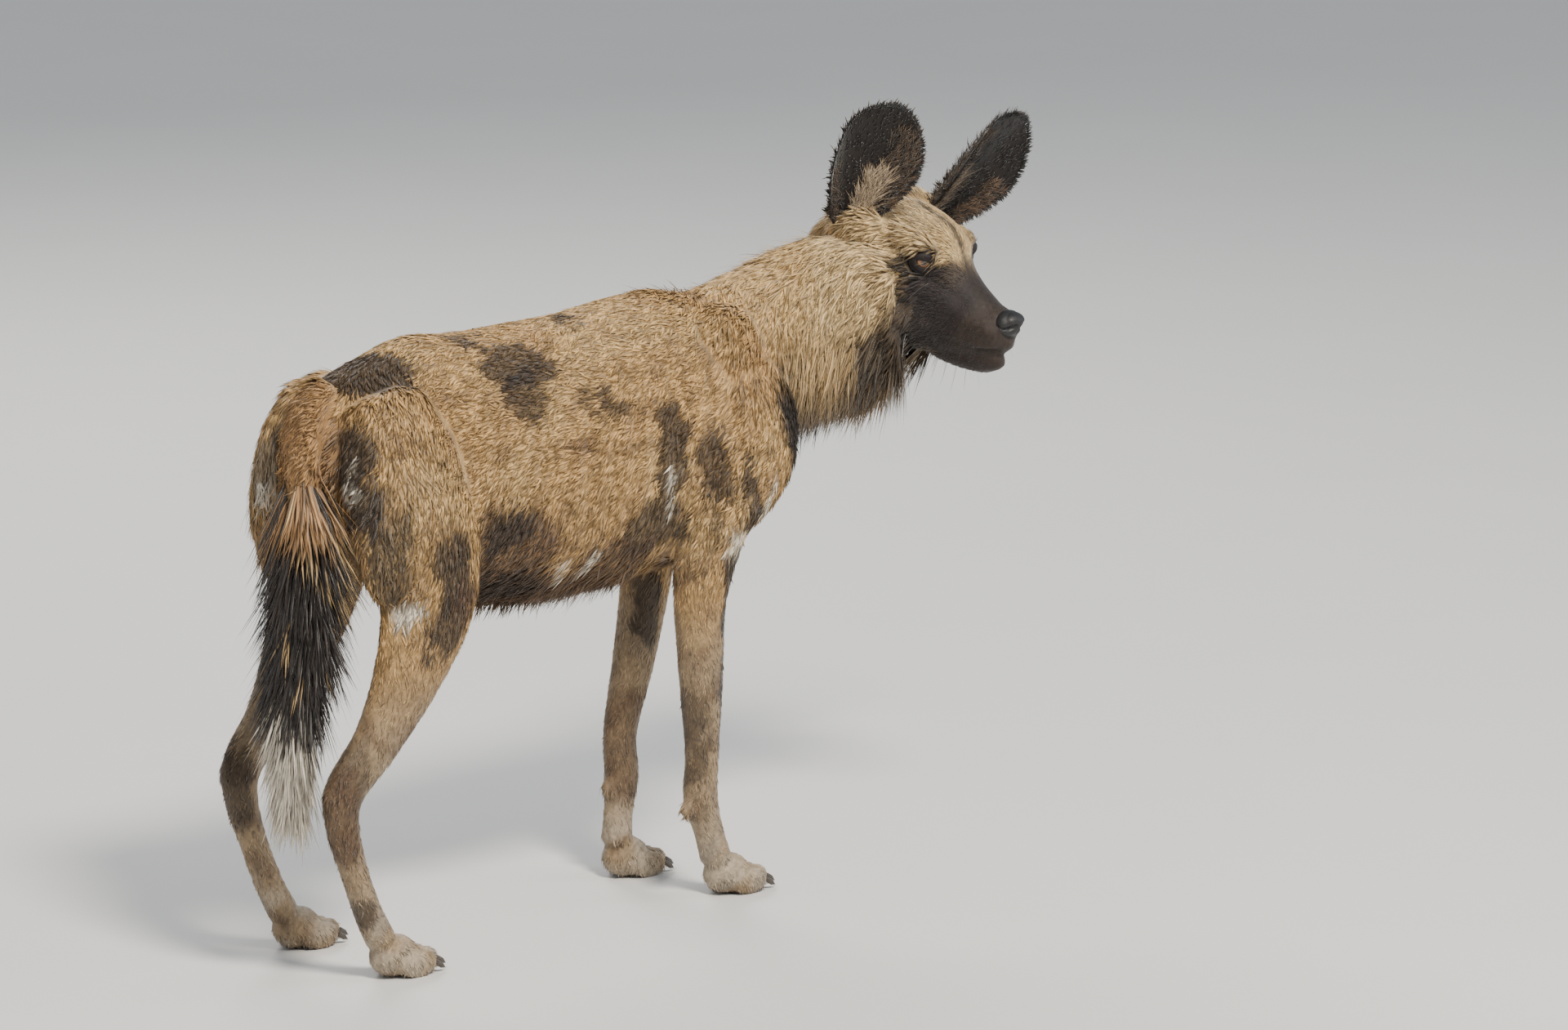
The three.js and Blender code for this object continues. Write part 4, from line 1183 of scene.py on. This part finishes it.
# Nose pad with comma-shaped nostrils
bm = bmesh.new()
for centre, radii in (([148, 0, -15], [14, 18, 14]), ([153, 0, -10], [11, 14, 9])):
    addBall(bm, centre, radii, headMatrix)
nose = objectFrom("nose_pad", bm)
applied(nose, remesh={"mode": "VOXEL", "voxel_size": 0.8}, smooth={"factor": 0.5, "iterations": 5})
p = points(nose.data)
normal = vertexNormals(nose.data)
moved = np.zeros_like(p)
for s in (-1, 1):
    line = [(163, 7, -13), (161, 12, -16), (155, 16.5, -18), (148, 18, -17)]
    ends = fromHead(np.array(line) * np.array([1, s, 1]))
    for k, (radius, push) in enumerate(((3.8, -5.0), (3.0, -3.2), (1.6, -1.6))):
        moved += press(p, normal, ends[k], ends[k + 1], radius, push)
ends = fromHead([(164, 0, -10), (159, 0, -29)])
moved += press(p, normal, ends[0], ends[1], 1.2, -1.2)
setPoints(nose.data, p + moved)
nose.data.materials.append(noseMaterial)
place(nose, ["nose"], "nose")

# Whiskers on the lips and chin
root, way, size = [], [], []
for s in (-1, 1):
    for k in range(16):
        row, column = divmod(k, 4)
        root.append((132 - 10 * column, s * (24 + 1.2 * column), -18 - 6 * row))
        way.append((0.25 - 0.3 * column / 3, s * 0.95, -0.2 - 0.25 * row))
        size.append(34 + 6 * column)
    for k in range(9):
        root.append((118 - 11 * k, s * (9 + k), -72))
        way.append((0.25 - 0.04 * k, s * 0.35, -1))
        size.append(26)
root, way = fromHead(root), unit(np.array(way, float) @ headTurn.T)
size = np.array(size, float) * chance.uniform(0.7, 1.1, len(root))
normal = unit(np.cross(way, np.array([0.3, 0.2, 1])))
tone = np.tile(colourOf("1b1614"), (len(root), 1))
wide = np.full(len(root), 0.22)
uv = np.full((len(root), 2), 0.9)
whiskers = blades("whiskers", root, normal, way, size, wide, tone, uv, whiskerMaterial, 4, 0.02, 0.25, 0.2)
place(whiskers, [], "head_coat")

# Wrist pads
bm = bmesh.new()
for wrist, s in ((205, -1), (218, 1)):
    addBall(bm, [wrist - 17, s * 67, 99], [6, 6, 7.5])
pads = objectFrom("wrist_pads", bm)
pads.data.materials.append(padMaterial)
place(pads, [], "nose")

flesh = ["torso", "neck", "head", "tail_root"]
flesh += [f"{part}_{leg}" for part in ("upper_leg", "lower_leg", "paw") for leg in pawAt]
place(skin, flesh, "coat")
for name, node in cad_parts.items():
    if name.startswith("claw"):
        node.data.materials.clear()
        node.data.materials.append(clawMaterial)
print("small parts made")

# Studio: pale floor, soft lights, and the camera at the photo's angle
bm = bmesh.new()
bmesh.ops.create_grid(bm, x_segments=2, y_segments=2, size=14)
floor = objectFrom("floor", bm)
floor.data.materials.append(plainMaterial("paleFloor", (0.66, 0.65, 0.63), (0.7, 0.69, 0.67), 3, 0.8, 0.05))
world = bpy.data.worlds.new("studio")
bpy.context.scene.world = world
world.use_nodes = True
setInputs(world.node_tree.nodes["Background"], {"Color": (0.82, 0.88, 0.95, 1), "Strength": 0.6})


def addLight(name, at, aim, size, power, colour):
    data = bpy.data.lights.new(name, "AREA")
    data.shape = "DISK"
    data.size, data.energy, data.color = size, power, colour
    lamp = bpy.data.objects.new(name, data)
    lamp.location = at
    lamp.rotation_euler = (Vector(aim) - Vector(at)).to_track_quat("-Z", "Y").to_euler()
    bpy.context.scene.collection.objects.link(lamp)


addLight("key", (-1.2, -3.2, 4.2), (0, 0, 0.4), 1.1, 380, (1, 0.93, 0.82))
addLight("fill", (3.2, -2.6, 2.0), (0, 0, 0.45), 3.0, 50, (0.9, 0.95, 1))
addLight("rim", (1.6, 3.4, 3.2), (0, 0, 0.5), 2.0, 120, (1, 0.98, 0.94))

view = {"at": (-5.34294, -5.74088, 1.95659), "aim": (0.20998, -0.18795, 0.43011), "lens": 177, "film": 36}
cameraData = bpy.data.cameras.new("camera")
cameraData.lens = view["lens"]
cameraData.sensor_width = view["film"]
camera = bpy.data.objects.new("camera", cameraData)
shift = Vector(floorShift / 1000)
camera.location = Vector(view["at"]) + shift
aim = Vector(view["aim"]) + shift
camera.rotation_euler = (aim - camera.location).to_track_quat("-Z", "Y").to_euler()
bpy.context.scene.collection.objects.link(camera)
bpy.context.scene.camera = camera

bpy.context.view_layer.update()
meshes = [piece.data for piece in bpy.data.objects if piece.type == "MESH"]
print("triangles", sum(len(mesh.loops) - 2 * len(mesh.polygons) for mesh in meshes))
